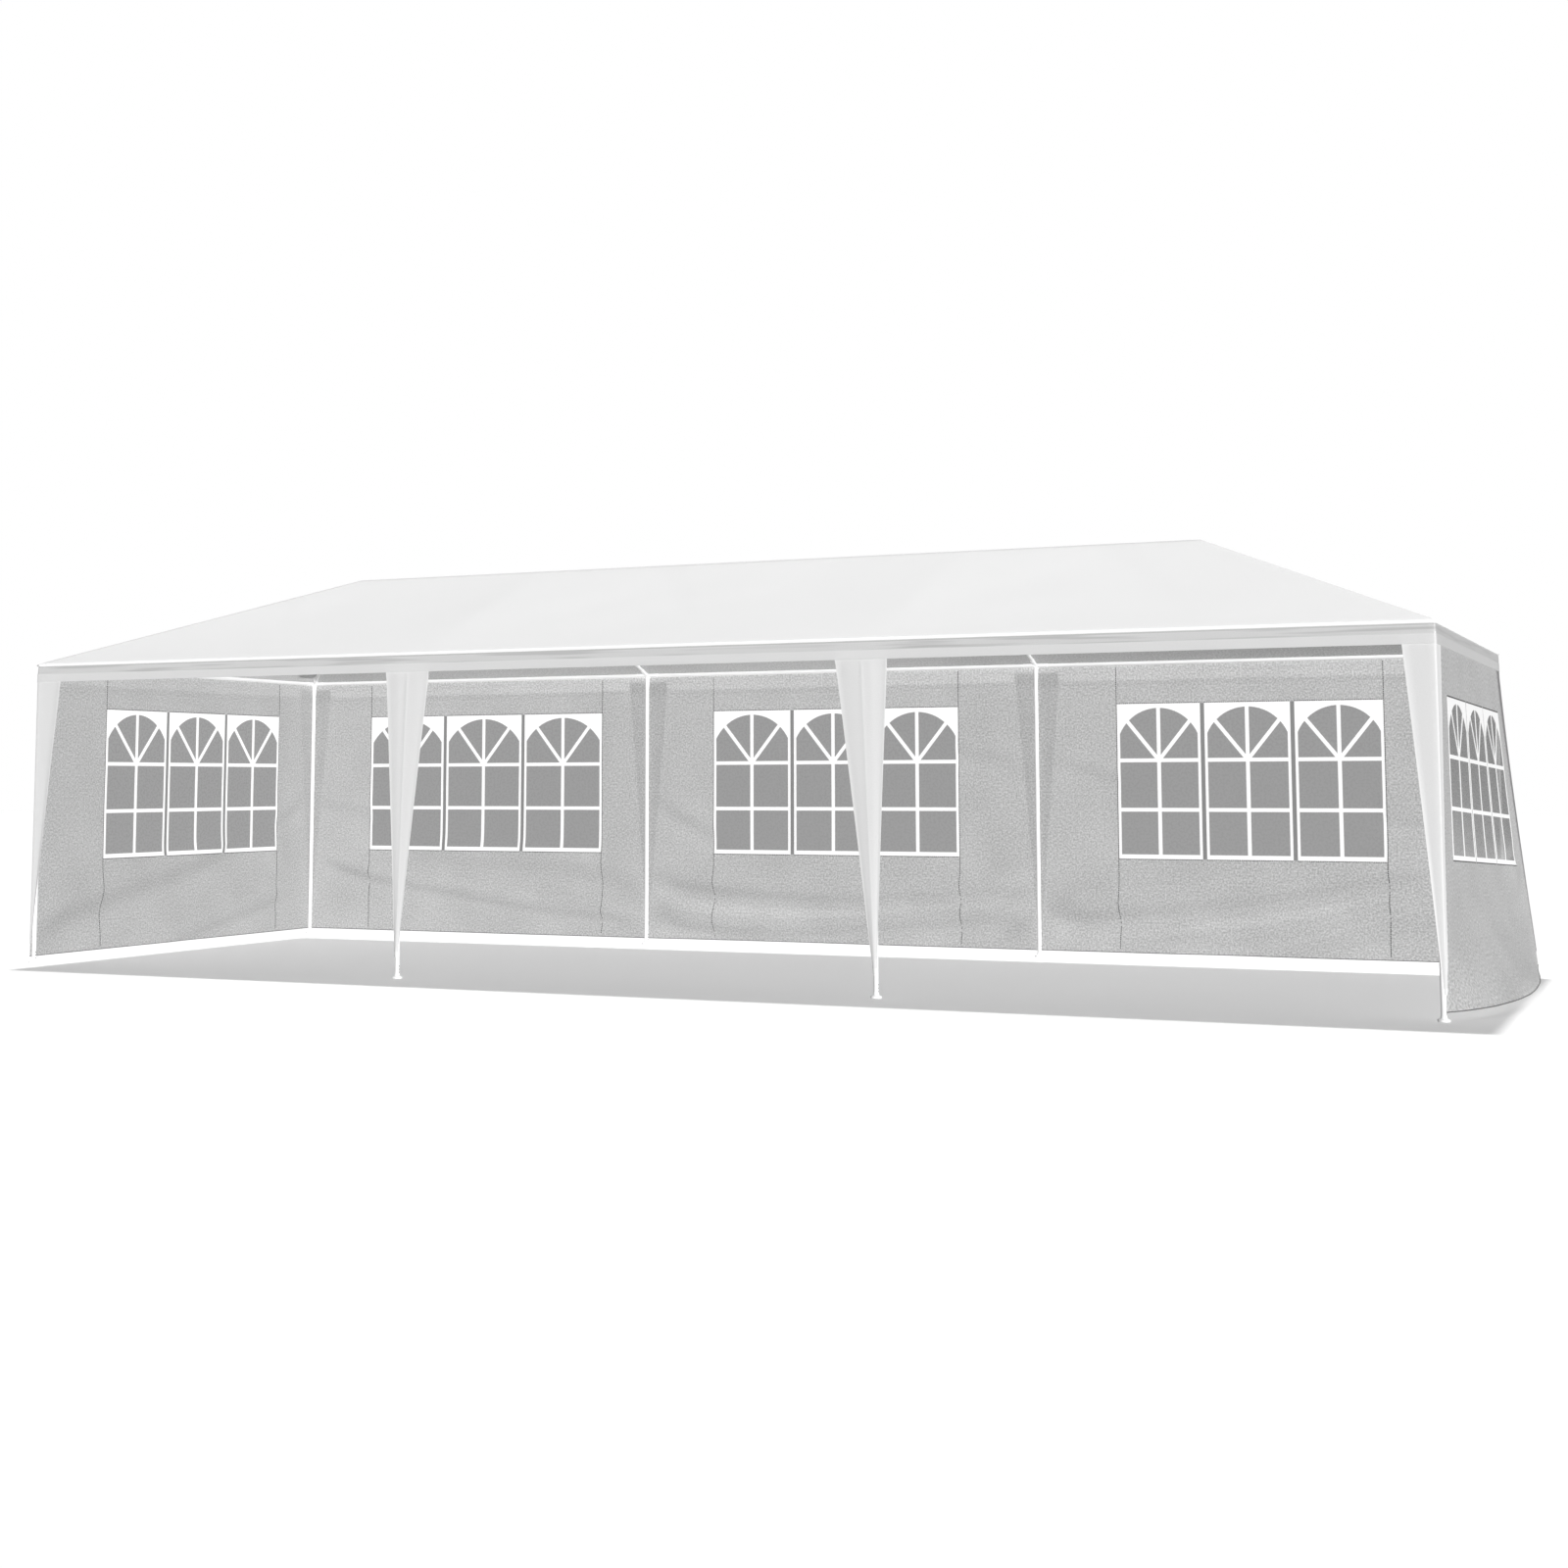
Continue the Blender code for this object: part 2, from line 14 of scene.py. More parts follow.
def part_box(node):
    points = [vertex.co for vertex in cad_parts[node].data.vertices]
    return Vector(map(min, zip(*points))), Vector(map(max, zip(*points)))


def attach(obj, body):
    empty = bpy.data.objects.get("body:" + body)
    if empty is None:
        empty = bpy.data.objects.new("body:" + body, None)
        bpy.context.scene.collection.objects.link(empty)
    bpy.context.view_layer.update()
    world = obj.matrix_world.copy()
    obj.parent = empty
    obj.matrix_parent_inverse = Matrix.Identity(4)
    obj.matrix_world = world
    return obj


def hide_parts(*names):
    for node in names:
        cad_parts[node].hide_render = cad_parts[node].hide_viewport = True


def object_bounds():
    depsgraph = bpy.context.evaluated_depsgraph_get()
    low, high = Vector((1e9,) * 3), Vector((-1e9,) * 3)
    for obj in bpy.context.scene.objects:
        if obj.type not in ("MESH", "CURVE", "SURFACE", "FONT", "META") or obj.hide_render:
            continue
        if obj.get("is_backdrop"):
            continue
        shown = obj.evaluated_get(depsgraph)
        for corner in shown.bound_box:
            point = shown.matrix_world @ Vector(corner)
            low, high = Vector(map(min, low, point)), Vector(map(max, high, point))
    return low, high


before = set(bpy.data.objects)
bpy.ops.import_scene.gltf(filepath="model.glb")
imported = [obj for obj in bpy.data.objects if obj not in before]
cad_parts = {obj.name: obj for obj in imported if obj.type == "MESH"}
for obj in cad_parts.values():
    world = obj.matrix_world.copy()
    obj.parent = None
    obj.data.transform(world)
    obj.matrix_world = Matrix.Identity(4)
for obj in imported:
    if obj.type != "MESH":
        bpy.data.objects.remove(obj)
CAD_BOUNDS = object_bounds()


def middle_of(node):
    low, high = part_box(node)
    return (Vector(low) + Vector(high)) / 2


# The part's frame
BAYS = 3
LEG_X = [middle_of(f"leg_back_{i + 1}").x for i in range(BAYS + 1)]
FRONT_LEG_X = [middle_of(f"leg_front_{i + 1}").x for i in range(BAYS + 1)]
BAY = (LEG_X[-1] - LEG_X[0]) / BAYS
HALF_DEPTH = middle_of("leg_back_1").y
HALF_LENGTH = BAYS * BAY / 2
RIDGE_HALF = HALF_LENGTH - HALF_DEPTH
MIDDLE_X = (LEG_X[0] + LEG_X[-1]) / 2
RAIL_HEIGHT = 1.955
RIDGE_HEIGHT = 2.573
PITCH = math.atan2(RIDGE_HEIGHT - RAIL_HEIGHT, HALF_DEPTH)
LEG_RADIUS = 0.014
RAIL_SLEEVE_RADIUS = 0.014
LEG_SLEEVE_RADIUS = 0.0155
SLEEVE_REACH = 0.085

# Roof cover: how far it lies above the tubes' centre lines, how it sags, and its rolled edge
COVER_LIFT = 0.0179
COVER_SAG = 0.016
SAG_RIPPLE = 0.35
ROLL_START = 0.0175
ROLL_RADIUS = 0.013
ROLL_TURNS = (-40, -60, -80, -100, -118)
ROLL_RIPPLE = 0.0007
ROLL_MAP_STEP = 0.02
CANOPY_STEPS = 32
HIP_NEAR = 0.002
# How far the sheet of painted shade for the cover's underside lies under the cover
UNDERSIDE_SHADE_DROP = 0.0012
CANOPY_WELD = 0.00005

# The valance from its tucked-in head to its foot: height, distance out, and which cloth it is,
# with 0 the slack upper part, painted darker as shade under the roof's edge, 1 the hem's band
# and 2 a dark strip that is painted shade right under the roof's rolled edge
VALANCE_PROFILE = (
    (1.9540, 0.0203, 2), (1.9470, 0.0208, 2), (1.9405, 0.0214, 0), (1.9300, 0.0226, 0),
    (1.9150, 0.0236, 0), (1.9030, 0.0240, 0), (1.8985, 0.0241, 0), (1.8970, 0.0251, 1),
    (1.8850, 0.0255, 1), (1.8680, 0.0256, 1), (1.8520, 0.0257, 1), (1.8465, 0.0258, 1),
    (1.8450, 0.0250, 1),
)
VALANCE_FOOT = 1.845
VALANCE_STEP = 0.032
VALANCE_FREE = (0.01, 0.09)
VALANCE_STREAK = 0.0030
VALANCE_FLUTTER = 0.0014
VALANCE_INWARD_MOST = 0.0012
# Valance faces turned out over the ends take darker copies of its cloths: painted shade
END_FACING = 0.7
END_SHADE_CLOTHS_FIRST = 3
CORNER_ROUNDING = 0.009
CORNER_STEPS = 5
NOMINAL_OUT = 0.020

# Drapes over the legs; each line across one is a share of its half width
DRAPE_OUT = 0.0225
DRAPE_FOOT = 0.13
DRAPE_TOP = 1.905
DRAPE_ROWS = 56
DRAPE_CURVE = 1.06
DRAPE_TOP_HALF_WIDTH = 0.155
DRAPE_FOOT_HALF_WIDTH = 0.012
DRAPE_LINES = (0.04, 0.15, 0.35, 0.55, 0.75, 0.93, 0.95, 1.0)
FRONT_DRAPE_TOP_SHIFTS = (0.056, -0.070)
FRONT_DRAPE_CURL = 0.006
BACK_DRAPE_CURL = 0.001
CURL_CURVE = 2.2
CORNER_DRAPE_TOP_WIDTH = 0.165
FRONT_LEFT_DRAPE_TOP_WIDTH = 0.200
CORNER_DRAPE_FOOT_WIDTH = 0.015
CORNER_DRAPE_LINES = (0.03, 0.08, 0.22, 0.45, 0.7, 0.92, 0.94, 1.0)
DRAPE_ROUNDING = 0.008
DRAPE_HEM_SHARE = 0.935
DRAPE_HEM_LIFT = 0.0007
DRAPE_CREASE = 0.0016
DRAPE_SLACK = 0.0016
CORNER_DRAPE_SLACK = 0.0008
DRAPE_SLACK_INWARD = 0.0008
DRAPE_PLEAT = 0.0034
CORNER_DRAPE_PLEAT = 0.0026
DRAPE_TUCK = 0.005
DRAPE_FREE = 0.03
CREASE_WIDTH = 0.006
CRUMPLE_DROP = 0.02
CRUMPLE_REACH = 0.05

# Side walls and windows
WALL_OUT = 0.0178
WALL_FOOT = 0.045
WALL_TOP = 1.952
WALL_SEAM = 0.0005
WALL_CORNER = 0.002
WINDOW_FOOT = 0.662
WINDOW_HEAD = 1.684
WINDOW_GAP = 0.028
FRAME_SIDE = 0.018
FRAME_FOOT = 0.028
FRAME_HEAD = 0.028
FRAME_THICKNESS = 0.0030
BAR = 0.025
LOW_BAR = 0.322
HIGH_BAR = 0.648
ARCH_RISE = 0.170
ARCH_STEPS = 24
FAN_ANGLE = math.radians(39)
BACK_WINDOW_GROUPS = ((0.077, 2.047), (-0.015, 1.868), (-0.066, 1.732))
LEFT_WINDOW_GROUP = (0.115, 1.909)
RIGHT_WINDOW_GROUP = (0.041, 2.315)
RIGHT_WINDOW_FEET = (0.771, 0.664)
RIGHT_WINDOW_HEADS = (1.596, 1.578)
CLOTH_STEP = 0.034
HEM_STEP = 0.03
HEM_RADIUS = 0.0032
HEM_RISE = 0.002
HEM_SIDES = 6

# The right end wall leans out below the valance, most at its rear edge, and its foot flares out
LEAN_REACH = 0.173
LEAN_SPREAD = 1.26
LEAN_CURVE = 1.19
FLARE_REACH = 0.243
FLARE_EARLY = 0.68
FLARE_FULL = 1.05
FLARE_CURVE = 8

# Folds of each wall: points along the fold's line, as (along the wall, height), then how broad
# the fold is and how deep. Its upper flank stands in, and its lower one falls back.
FOLD_SCALE = 2.1
FOLD_PEAK = 2.33
FOLD_PAST_END = 0.35
FOLD_BEFORE_END = 0.15
WALL_SWELL = 0.0060
WALL_RIPPLE = 0.0016
FOLDS = {
    "back_1": (
        (((-1.30, 0.54), (-0.83, 0.43), (-0.11, 0.33), (0.53, 0.24), (1.48, 0.17)), 0.055, 0.0085),
        (((-0.30, 0.60), (0.30, 0.57), (0.80, 0.55), (1.46, 0.45)), 0.120, 0.0075),
        (((-1.48, 0.98), (-0.98, 0.97)), 0.075, 0.0060),
    ),
    "back_2": (
        (((-1.48, 0.46), (-0.94, 0.40), (-0.30, 0.36), (0.20, 0.36), (0.99, 0.41), (1.48, 0.48)),
         0.085, 0.0125),
        (((-1.45, 0.17), (-0.47, 0.11), (0.35, 0.18), (0.99, 0.23), (1.48, 0.29)), 0.095, 0.0145),
        (((0.90, 1.38), (1.46, 1.31)), 0.070, 0.0050),
        (((-1.46, 1.02), (-1.06, 0.86)), 0.090, 0.0060),
    ),
    "back_3": (
        (((-1.48, 0.27), (-1.12, 0.28), (-0.62, 0.33), (0.21, 0.44), (1.30, 0.64)), 0.105, 0.0165),
        (((-0.35, 0.11), (0.20, 0.20), (0.63, 0.31), (1.20, 0.47)), 0.085, 0.0125),
        (((-1.46, 1.30), (-1.00, 1.22)), 0.070, 0.0050),
        (((0.83, 0.93), (1.30, 0.88)), 0.070, 0.0055),
    ),
    "left": (
        (((-1.36, 0.26), (-0.83, 0.37), (-0.18, 0.51), (0.46, 0.66)), 0.120, 0.0085),
        (((-0.06, 0.06), (0.48, 0.16), (1.05, 0.28)), 0.060, 0.0055),
        (((1.18, 0.94), (1.46, 1.02)), 0.090, 0.0065),
    ),
    "right": (
        (((-1.30, 0.30), (-0.40, 0.38), (0.40, 0.30), (1.30, 0.42)), 0.120, 0.0060),
        (((-0.90, 0.62), (0.10, 0.52), (1.20, 0.66)), 0.100, 0.0045),
    ),
}

# The folds fade towards the walls' edges and heads and round their windows, and the cloth moves
# outwards only clear of the drapes behind it, which hide more of a wall at its head
EDGE_FADE = 0.30
HEAD_FADE = (0.05, 0.75)
WINDOW_CALM = 0.7
WINDOW_FADE = 0.10
SILL_FADE = (-0.06, 0.14)
OUTWARD_MOST = 0.05
OUTWARD_BY_DRAPE = 0.0012
DRAPE_COVERS = (0.03, 0.18)
CLEAR_FADE = 0.30

# Stitches are small boxes, long along their seam and narrow across it
WELD = 0.00001
STITCH_LENGTH = 0.0052
SEAM_STITCH_WIDTH = 0.0022
WINDOW_STITCH_WIDTH = 0.0020
SEAM_ASIDE = 0.004
SEAM_RISE = 0.03
SEAM_DROP = 0.02
WINDOW_STITCH_ASIDE = 0.0045
STITCH_LIFT = 0.0011
STITCH_WOBBLE = 0.0006
SEAM_PITCH = 0.0135
WINDOW_STITCH_PITCH = 0.0140
BOX_CORNERS = [(a, b, c) for c in (-1, 1) for b in (-1, 1) for a in (-1, 1)]
BOX_FACES = ((0, 2, 3, 1), (4, 5, 7, 6), (0, 1, 5, 4), (2, 6, 7, 3), (0, 4, 6, 2), (1, 3, 7, 5))

# Feet and joints. A foot's profile is (radius, height); a button's size is (radius, height).
FOOT_PROFILE = (
    (0.0143, 0.0300), (0.0160, 0.0296), (0.0165, 0.0220), (0.0190, 0.0165), (0.0250, 0.0135),
    (0.0300, 0.0120), (0.0318, 0.0095), (0.0318, 0.0035), (0.0200, 0.0032), (0.0143, 0.0125),
)
FOOT_SIDES = 28
HOLE_HEIGHTS = (0.036, 0.054, 0.073)
HOLE_RADIUS = 0.0032
HOLE_SIDES = 10
HOLE_SINK = 0.0006
HOLE_DEPTH = 0.0009
BEAD = 0.0012
BEAD_BACK = 0.0015
BEAD_SIDES = 24
BEAD_SECTION = 6
BUTTON_SIDES = 12
BUTTON_RINGS = 4
RAIL_BUTTON = (0.0038, 0.0026)
RAIL_BUTTON_PLACE = 0.062
LEG_BUTTON = (0.0042, 0.0030)
LEG_BUTTON_PLACE = 0.060
BUTTON_SINK = 0.0004
GUSSET_REACH = 0.032
GUSSET_THICKNESS = 0.0035
GUSSET_HEEL = 0.006
GUSSET_TOE = 0.010
GUSSET_WAIST = 0.012
GUSSET_STEPS = 9

# Lamps: strength, the direction of the light, and the angle in degrees that softens its shadow
OVER_LAMP = (0.60, (0.26, -0.43, -1.90), 2.5)
FRONT_LAMP = (1.15, (-0.70, 0.665, -0.26), 20.0)
BEHIND_LAMP = (0.40, (0.45, -0.70, 0.55), 1.0)
AMBIENT = 0.20

# Floor, and the camera fitted to the photograph, which turns about its own axes in this order
FLOOR_HALF = 60.0
FLOOR_BOUNCE = 0.45
CAMERA_PLACE = (5.8368 + MIDDLE_X, -12.4448, 1.1686)
CAMERA_TURNS = ((24.058, "Z"), (90 + 5.495, "X"), (-0.147, "Z"))
FOCAL_PIXELS = 2178.0
AXIS_ROW = 589.1
FRAME_PIXELS = 1600.0
SENSOR_WIDTH = 36.0
VIEW_REACH = 300.0


def held_to_one(value):
    """The value, or 0 where it is below it and 1 where it is above."""
    return min(max(value, 0.0), 1.0)


def smooth(value, low, high):
    """From 0 below low to 1 above high, without a corner."""
    t = held_to_one((value - low) / (high - low))
    return t * t * (3 - 2 * t)


def spread(low, high, step):
    """Evenly spaced values from low to high, both among them, at most a step apart."""
    count = max(1, math.ceil((high - low) / step))
    return [low + (high - low) * i / count for i in range(count + 1)]


def lines_through(stops, step):
    """Values that pass through every stop, with even steps between one stop and the next."""
    values = [stops[0]]
    for low, high in zip(stops, stops[1:]):
        values += spread(low, high, step)[1:]
    return values


def steps(value, end, pitch):
    """Values that start at the given one, a pitch apart, and stay below the end."""
    while value < end:
        yield value
        value += pitch


def mirrored(half):
    """The values, zero, and the values on the other side of it."""
    return [-value for value in reversed(half)] + [0.0] + list(half)


def ripple(*place):
    """Smooth noise between -1 and 1, whose waves are finer the more its place is scaled up."""
    return noise.noise(Vector(place))


# Materials: every colour is a grey, given as one number

TAPE_WIDTH = 0.0026
FINE_SHARE = 0.82
CLOTH_ROUGHNESS = (0.56, 0.70)
# Slant and stretch of the painted shade streaks of slack cloth
SLACK_SHADE_TURN = (0.0, 0.0, math.radians(5))
SLACK_SHADE_SCALE = (1.4, 42.0, 1.0)
WAVE_BAND = 0.314


def feed(tree, node, **inputs):
    """Sets a node's sockets or links them to another's output; one named n_6 is the seventh."""
    for key, value in inputs.items():
        socket = node.inputs[int(key[2:]) if key[:2] == "n_" else key.replace("_", " ")]
        if isinstance(value, bpy.types.NodeSocket):
            tree.links.new(value, socket)
        else:
            socket.default_value = value


def add_node(tree, kind, settings=None, **inputs):
    made = tree.nodes.new(f"ShaderNode{kind}")
    for key, value in (settings or {}).items():
        setattr(made, key, value)
    feed(tree, made, **inputs)
    return made


def blank_material(name, map_name="Object"):
    """A new material with its node tree, its shader and where a point lies on the chosen map."""
    material = bpy.data.materials.new(name)
    material.use_nodes = True
    tree = material.node_tree
    place = add_node(tree, "TexCoord").outputs[map_name]
    return material, tree, tree.nodes["Principled BSDF"], place


def ranged(tree, value, low, high):
    """A value from 0 to 1 carried over to the range from low to high."""
    return add_node(tree, "MapRange", Value=value, To_Min=low, To_Max=high).outputs["Result"]


def noise_in(tree, vector, scale, detail, low=0.3, high=0.7):
    """Noise stretched to run from 0 to 1."""
    made = add_node(tree, "TexNoise", Vector=vector, Scale=scale, Detail=detail)
    stretched = add_node(tree, "MapRange", Value=made.outputs["Fac"], From_Min=low, From_Max=high)
    return stretched.outputs["Result"]


def bands(tree, place, direction, width):
    made = add_node(
        tree, "TexWave", {"bands_direction": direction}, Vector=place, Scale=WAVE_BAND / width
    )
    return made.outputs["Fac"]


def grey(shade):
    return (shade, shade, shade, 1)


def blend(tree, factor, first, second):
    """Mixes two greys; the first may come from another node."""
    if not isinstance(first, bpy.types.NodeSocket):
        first = grey(first)
    made = add_node(tree, "Mix", {"data_type": "RGBA"}, n_0=factor, n_6=first, n_7=grey(second))
    return made.outputs[2]


def maths(tree, operation, first, second):
    return add_node(tree, "Math", {"operation": operation}, n_0=first, n_1=second).outputs[0]


def relief(tree, height, strength, depth):
    bump = add_node(tree, "Bump", Height=height, Strength=strength, Distance=depth)
    return bump.outputs["Normal"]


def cloth_material(name, shade, see_through, grain, grain_scale=120.0, slack_shade=0.0):
    """Woven plastic sheeting: flat tapes that cross, a fine grain, and light that comes through.

    The last argument is how much darker the long slanting streaks are: painted shade of the folds
    in slack cloth.
    """
    material, tree, shader, place = blank_material(name, "UV")
    fine = noise_in(tree, place, scale=grain_scale, detail=1.0)
    broad = noise_in(tree, place, scale=2.3, detail=3.0)
    mixed = maths(tree, "ADD", maths(tree, "MULTIPLY", fine, FINE_SHARE),
                  maths(tree, "MULTIPLY", broad, 1 - FINE_SHARE))
    tint = blend(tree, mixed, shade * (1 - grain), shade * (1 + grain))
    # Painted shade of slack folds, as long slanting darker streaks
    if slack_shade:
        slanted = add_node(tree, "Mapping", Vector=place, Rotation=SLACK_SHADE_TURN, Scale=SLACK_SHADE_SCALE)
        slant = slanted.outputs["Vector"]
        streak = noise_in(tree, slant, scale=1.0, detail=1.0, low=0.50, high=0.66)
        tint = blend(tree, streak, tint, shade * (1 - slack_shade))
    tapes = maths(tree, "MULTIPLY", *[bands(tree, place, axis, TAPE_WIDTH) for axis in "XY"])
    normal = relief(tree, maths(tree, "ADD", tapes, fine), strength=0.35, depth=0.0006)
    feed(tree, shader, Base_Color=tint, Roughness=ranged(tree, fine, *CLOTH_ROUGHNESS),
         Normal=normal, Specular_IOR_Level=0.35)
    through = add_node(tree, "BsdfTranslucent", Color=tint, Normal=normal)
    mix = add_node(
        tree, "MixShader", n_0=see_through, n_1=shader.outputs[0], n_2=through.outputs[0]
    )
    feed(tree, tree.nodes["Material Output"], Surface=mix.outputs[0])
    return material


def coated_metal(name, shade, rough):
    """Powder coat on steel: a faint orange peel and slightly duller rubbed patches."""
    material, tree, shader, place = blank_material(name)
    peel = noise_in(tree, place, scale=420.0, detail=1.0)
    patch = noise_in(tree, place, scale=9.0, detail=4.0)
    feed(tree, shader, Base_Color=blend(tree, patch, shade * 0.965, shade),
         Roughness=ranged(tree, patch, rough - 0.07, rough + 0.10),
         Normal=relief(tree, peel, strength=0.20, depth=0.0003), Coat_Weight=0.15)
    return material


def film_material(name, shade, alpha):
    """Clear soft film that reads grey: faint ripples, and dust that dulls it here and there."""
    material, tree, shader, place = blank_material(name, "UV")
    waves = noise_in(tree, place, scale=7.0, detail=1.0)
    dust = noise_in(tree, place, scale=60.0, detail=5.0)
    feed(tree, shader, Base_Color=blend(tree, dust, shade * 0.985, shade * 1.015),
         Roughness=ranged(tree, dust, 0.22, 0.34), Alpha=alpha, Specular_IOR_Level=0.25,
         Normal=relief(tree, waves, strength=0.25, depth=0.002))
    return material


def fibre_material(name, shade, rough, ribs):
    """Thread or tape: fine ribs along it and a soft uneven colour."""
    material, tree, shader, place = blank_material(name)
    patch = noise_in(tree, place, scale=90.0, detail=3.0)
    feed(tree, shader, Base_Color=blend(tree, patch, shade * 0.8, shade * 1.2), Roughness=rough,
         Normal=relief(tree, bands(tree, place, "DIAGONAL", ribs), strength=0.4, depth=0.0002))
    return material


def print_material(name, shade):
    """White window frames welded on the film: smooth plastic with a faint leather grain."""
    material, tree, shader, place = blank_material(name)
    grain = noise_in(tree, place, scale=260.0, detail=2.0)
    feed(tree, shader, Base_Color=blend(tree, grain, shade * 0.985, shade), Roughness=0.42,
         Normal=relief(tree, grain, strength=0.12, depth=0.0003))
    return material


# Cloths: shade, share of light that comes through, and strength of the grain
COVER_CLOTH = cloth_material("cover_cloth", 0.70, 0.04, 0.012)
# The grey of the roof's underside is painted shade
UNDERSIDE_SHADE_CLOTH = cloth_material("roof_underside_painted_shade", 0.46, 0.04, 0.26, grain_scale=80.0)
# The rolled edge is painted lighter than the cover: a painted highlight along the eaves
ROLL_HIGHLIGHT_CLOTH = cloth_material("rolled_edge_painted_highlight", 0.94, 0.04, 0.012)
# The valance's slack upper part is darker than its hem: painted shade under the roof's edge
VALANCE_UPPER_SHADE_CLOTH = cloth_material("valance_upper_painted_shade", 0.595, 0.06, 0.02, slack_shade=0.22)
# Darker copy of the valance's cloth for its ends: painted shade
END_VALANCE_SHADE_CLOTH = cloth_material("end_valance_painted_shade", 0.47, 0.06, 0.04, slack_shade=0.10)
HEM_CLOTH = cloth_material("hem_cloth", 0.665, 0.06, 0.012)
# Darker copy of the hem cloth for the valance's ends: painted shade
END_HEM_SHADE_CLOTH = cloth_material("end_hem_painted_shade", 0.53, 0.06, 0.03)
# A dark strip painted as the shade right under the roof's rolled edge
EAVE_SHADE_CLOTH = cloth_material("eave_painted_shade", 0.46, 0.04, 0.03)
DRAPE_CLOTH = cloth_material("drape_cloth", 0.71, 0.08, 0.012)
DRAPE_HEM = cloth_material("drape_hem", 0.765, 0.06, 0.012)
BACK_CLOTH = cloth_material("back_wall_cloth", 0.525, 0.35, 0.30, grain_scale=85.0)
END_CLOTH = cloth_material("end_wall_cloth", 0.52, 0.35, 0.30, grain_scale=85.0)
STRIP_CLOTH = cloth_material("window_strip_cloth", 0.24, 0.08, 0.03)

# Hard and small things: shade, then roughness, with the film's alpha and the ribs' width
TUBE_COAT = coated_metal("tube_coat", 0.93, 0.36)
JOINT_COAT = coated_metal("joint_coat", 0.92, 0.44)
FILM = film_material("clear_film", 0.182, 0.84)
FRAME_PRINT = print_material("window_print_white", 0.97)
THREAD = fibre_material("dark_thread", 0.035, 0.8, 0.0012)
DARK_FOOT_CORD = fibre_material("dark_foot_cord", 0.16, 0.75, 0.0014)
FOOT_PLASTIC = coated_metal("foot_plastic", 0.94, 0.50)
# Near-black discs sunk in the legs' adjusting holes: painted shade
PAINTED_HOLE_SHADE = fibre_material("hole_shade", 0.06, 0.9, 0.002)


# Pieces


class Shapes:
    """Shapes gathered into one mesh, and their map places in metres where they have any."""

    def __init__(self, points=(), faces=(), places=()):
        self.points, self.faces, self.places = list(points), list(faces), list(places)

    def take(self, points, faces, places=()):
        base = len(self.points)
        self.points += points
        self.faces += [tuple(base + k for k in face) for face in faces]
        self.places += places


def add_piece(name, shapes, materials, kinds=None, sharp=None):
    """A mesh piece that rides on the tent. kinds are the material numbers of its faces."""
    mesh = bpy.data.meshes.new(name)
    mesh.from_pydata([tuple(p) for p in shapes.points], [], shapes.faces)
    for material in materials:
        mesh.materials.append(material)
    if shapes.places:
        layer = mesh.uv_layers.new(name="cut")
        for loop in mesh.loops:
            layer.data[loop.index].uv = shapes.places[loop.vertex_index]
    if kinds:
        mesh.polygons.foreach_set("material_index", kinds)
    mesh.shade_smooth()
    if sharp:
        mesh.set_sharp_from_angle(angle=math.radians(sharp))
    mesh.update()
    piece = bpy.data.objects.new(name, mesh)
    bpy.context.scene.collection.objects.link(piece)
    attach(piece, "root")
    return piece


def grid_faces(columns, rows, wanted=None):
    """Faces of a grid whose points run row by row, and which cell each belongs to."""
    faces, cells = [], []
    for j in range(rows - 1):
        for i in range(columns - 1):
            if wanted and not wanted(i, j):
                continue
            first = j * columns + i
            faces.append((first, first + 1, first + columns + 1, first + columns))
            cells.append((i, j))
    return faces, cells


def cover_height(x, y):
    """Height of the taut roof cover at a point of the plan, counted from the tent's middle."""
    out = max(abs(y), abs(x) - RIDGE_HALF)
    return RIDGE_HEIGHT + COVER_LIFT / math.cos(PITCH) - math.tan(PITCH) * out


def cover_sag(x, y):
    """How far the cover hangs below its taut place between the rafters."""
    far_x, far_y = abs(x), abs(y)
    if far_y >= far_x - RIDGE_HALF:
        down = far_y / HALF_DEPTH
        if far_x < BAY / 2:
            across = x / BAY + 0.5
        else:
            across = (far_x - BAY / 2) / (RIDGE_HALF + far_y - BAY / 2)
    else:
        down = (far_x - RIDGE_HALF) / HALF_DEPTH
        across = (y / (far_x - RIDGE_HALF) + 1) / 2
    down, across = held_to_one(down), held_to_one(across)
    level = 16 * across * (1 - across) * down * (1 - down)
    return COVER_SAG * level * (1 + SAG_RIPPLE * ripple(x * 1.9, y * 2.6, 4.0))


def roll_profile():
    """Where the cover's edge runs as it rolls over the rail: (out from the legs, height)."""
    rim = cover_height(0.0, HALF_DEPTH + ROLL_START)
    centre_out = ROLL_START - ROLL_RADIUS * math.sin(PITCH)
    centre_up = rim - ROLL_RADIUS * math.cos(PITCH)
    turns = [math.radians(turn) for turn in ROLL_TURNS]
    return [(centre_out - ROLL_RADIUS * math.sin(turn), centre_up + ROLL_RADIUS * math.cos(turn))
            for turn in turns]


def cut_on_hips(points, faces, kinds):
    """Splits each square that a hip crosses, so that the crease runs along the hip."""
    cut, cut_kinds = [], []
    for face, kind in zip(faces, kinds):
        a, b, c, d = face
        x = (points[a][0] + points[c][0]) / 2 - MIDDLE_X
        y = (points[a][1] + points[c][1]) / 2
        more = [face]
        if abs(abs(y) - (abs(x) - RIDGE_HALF)) < HIP_NEAR:
            more = [(a, b, c), (a, c, d)] if x * y > 0 else [(a, b, d), (b, c, d)]
        cut += more
        cut_kinds += [kind] * len(more)
    return cut, cut_kinds


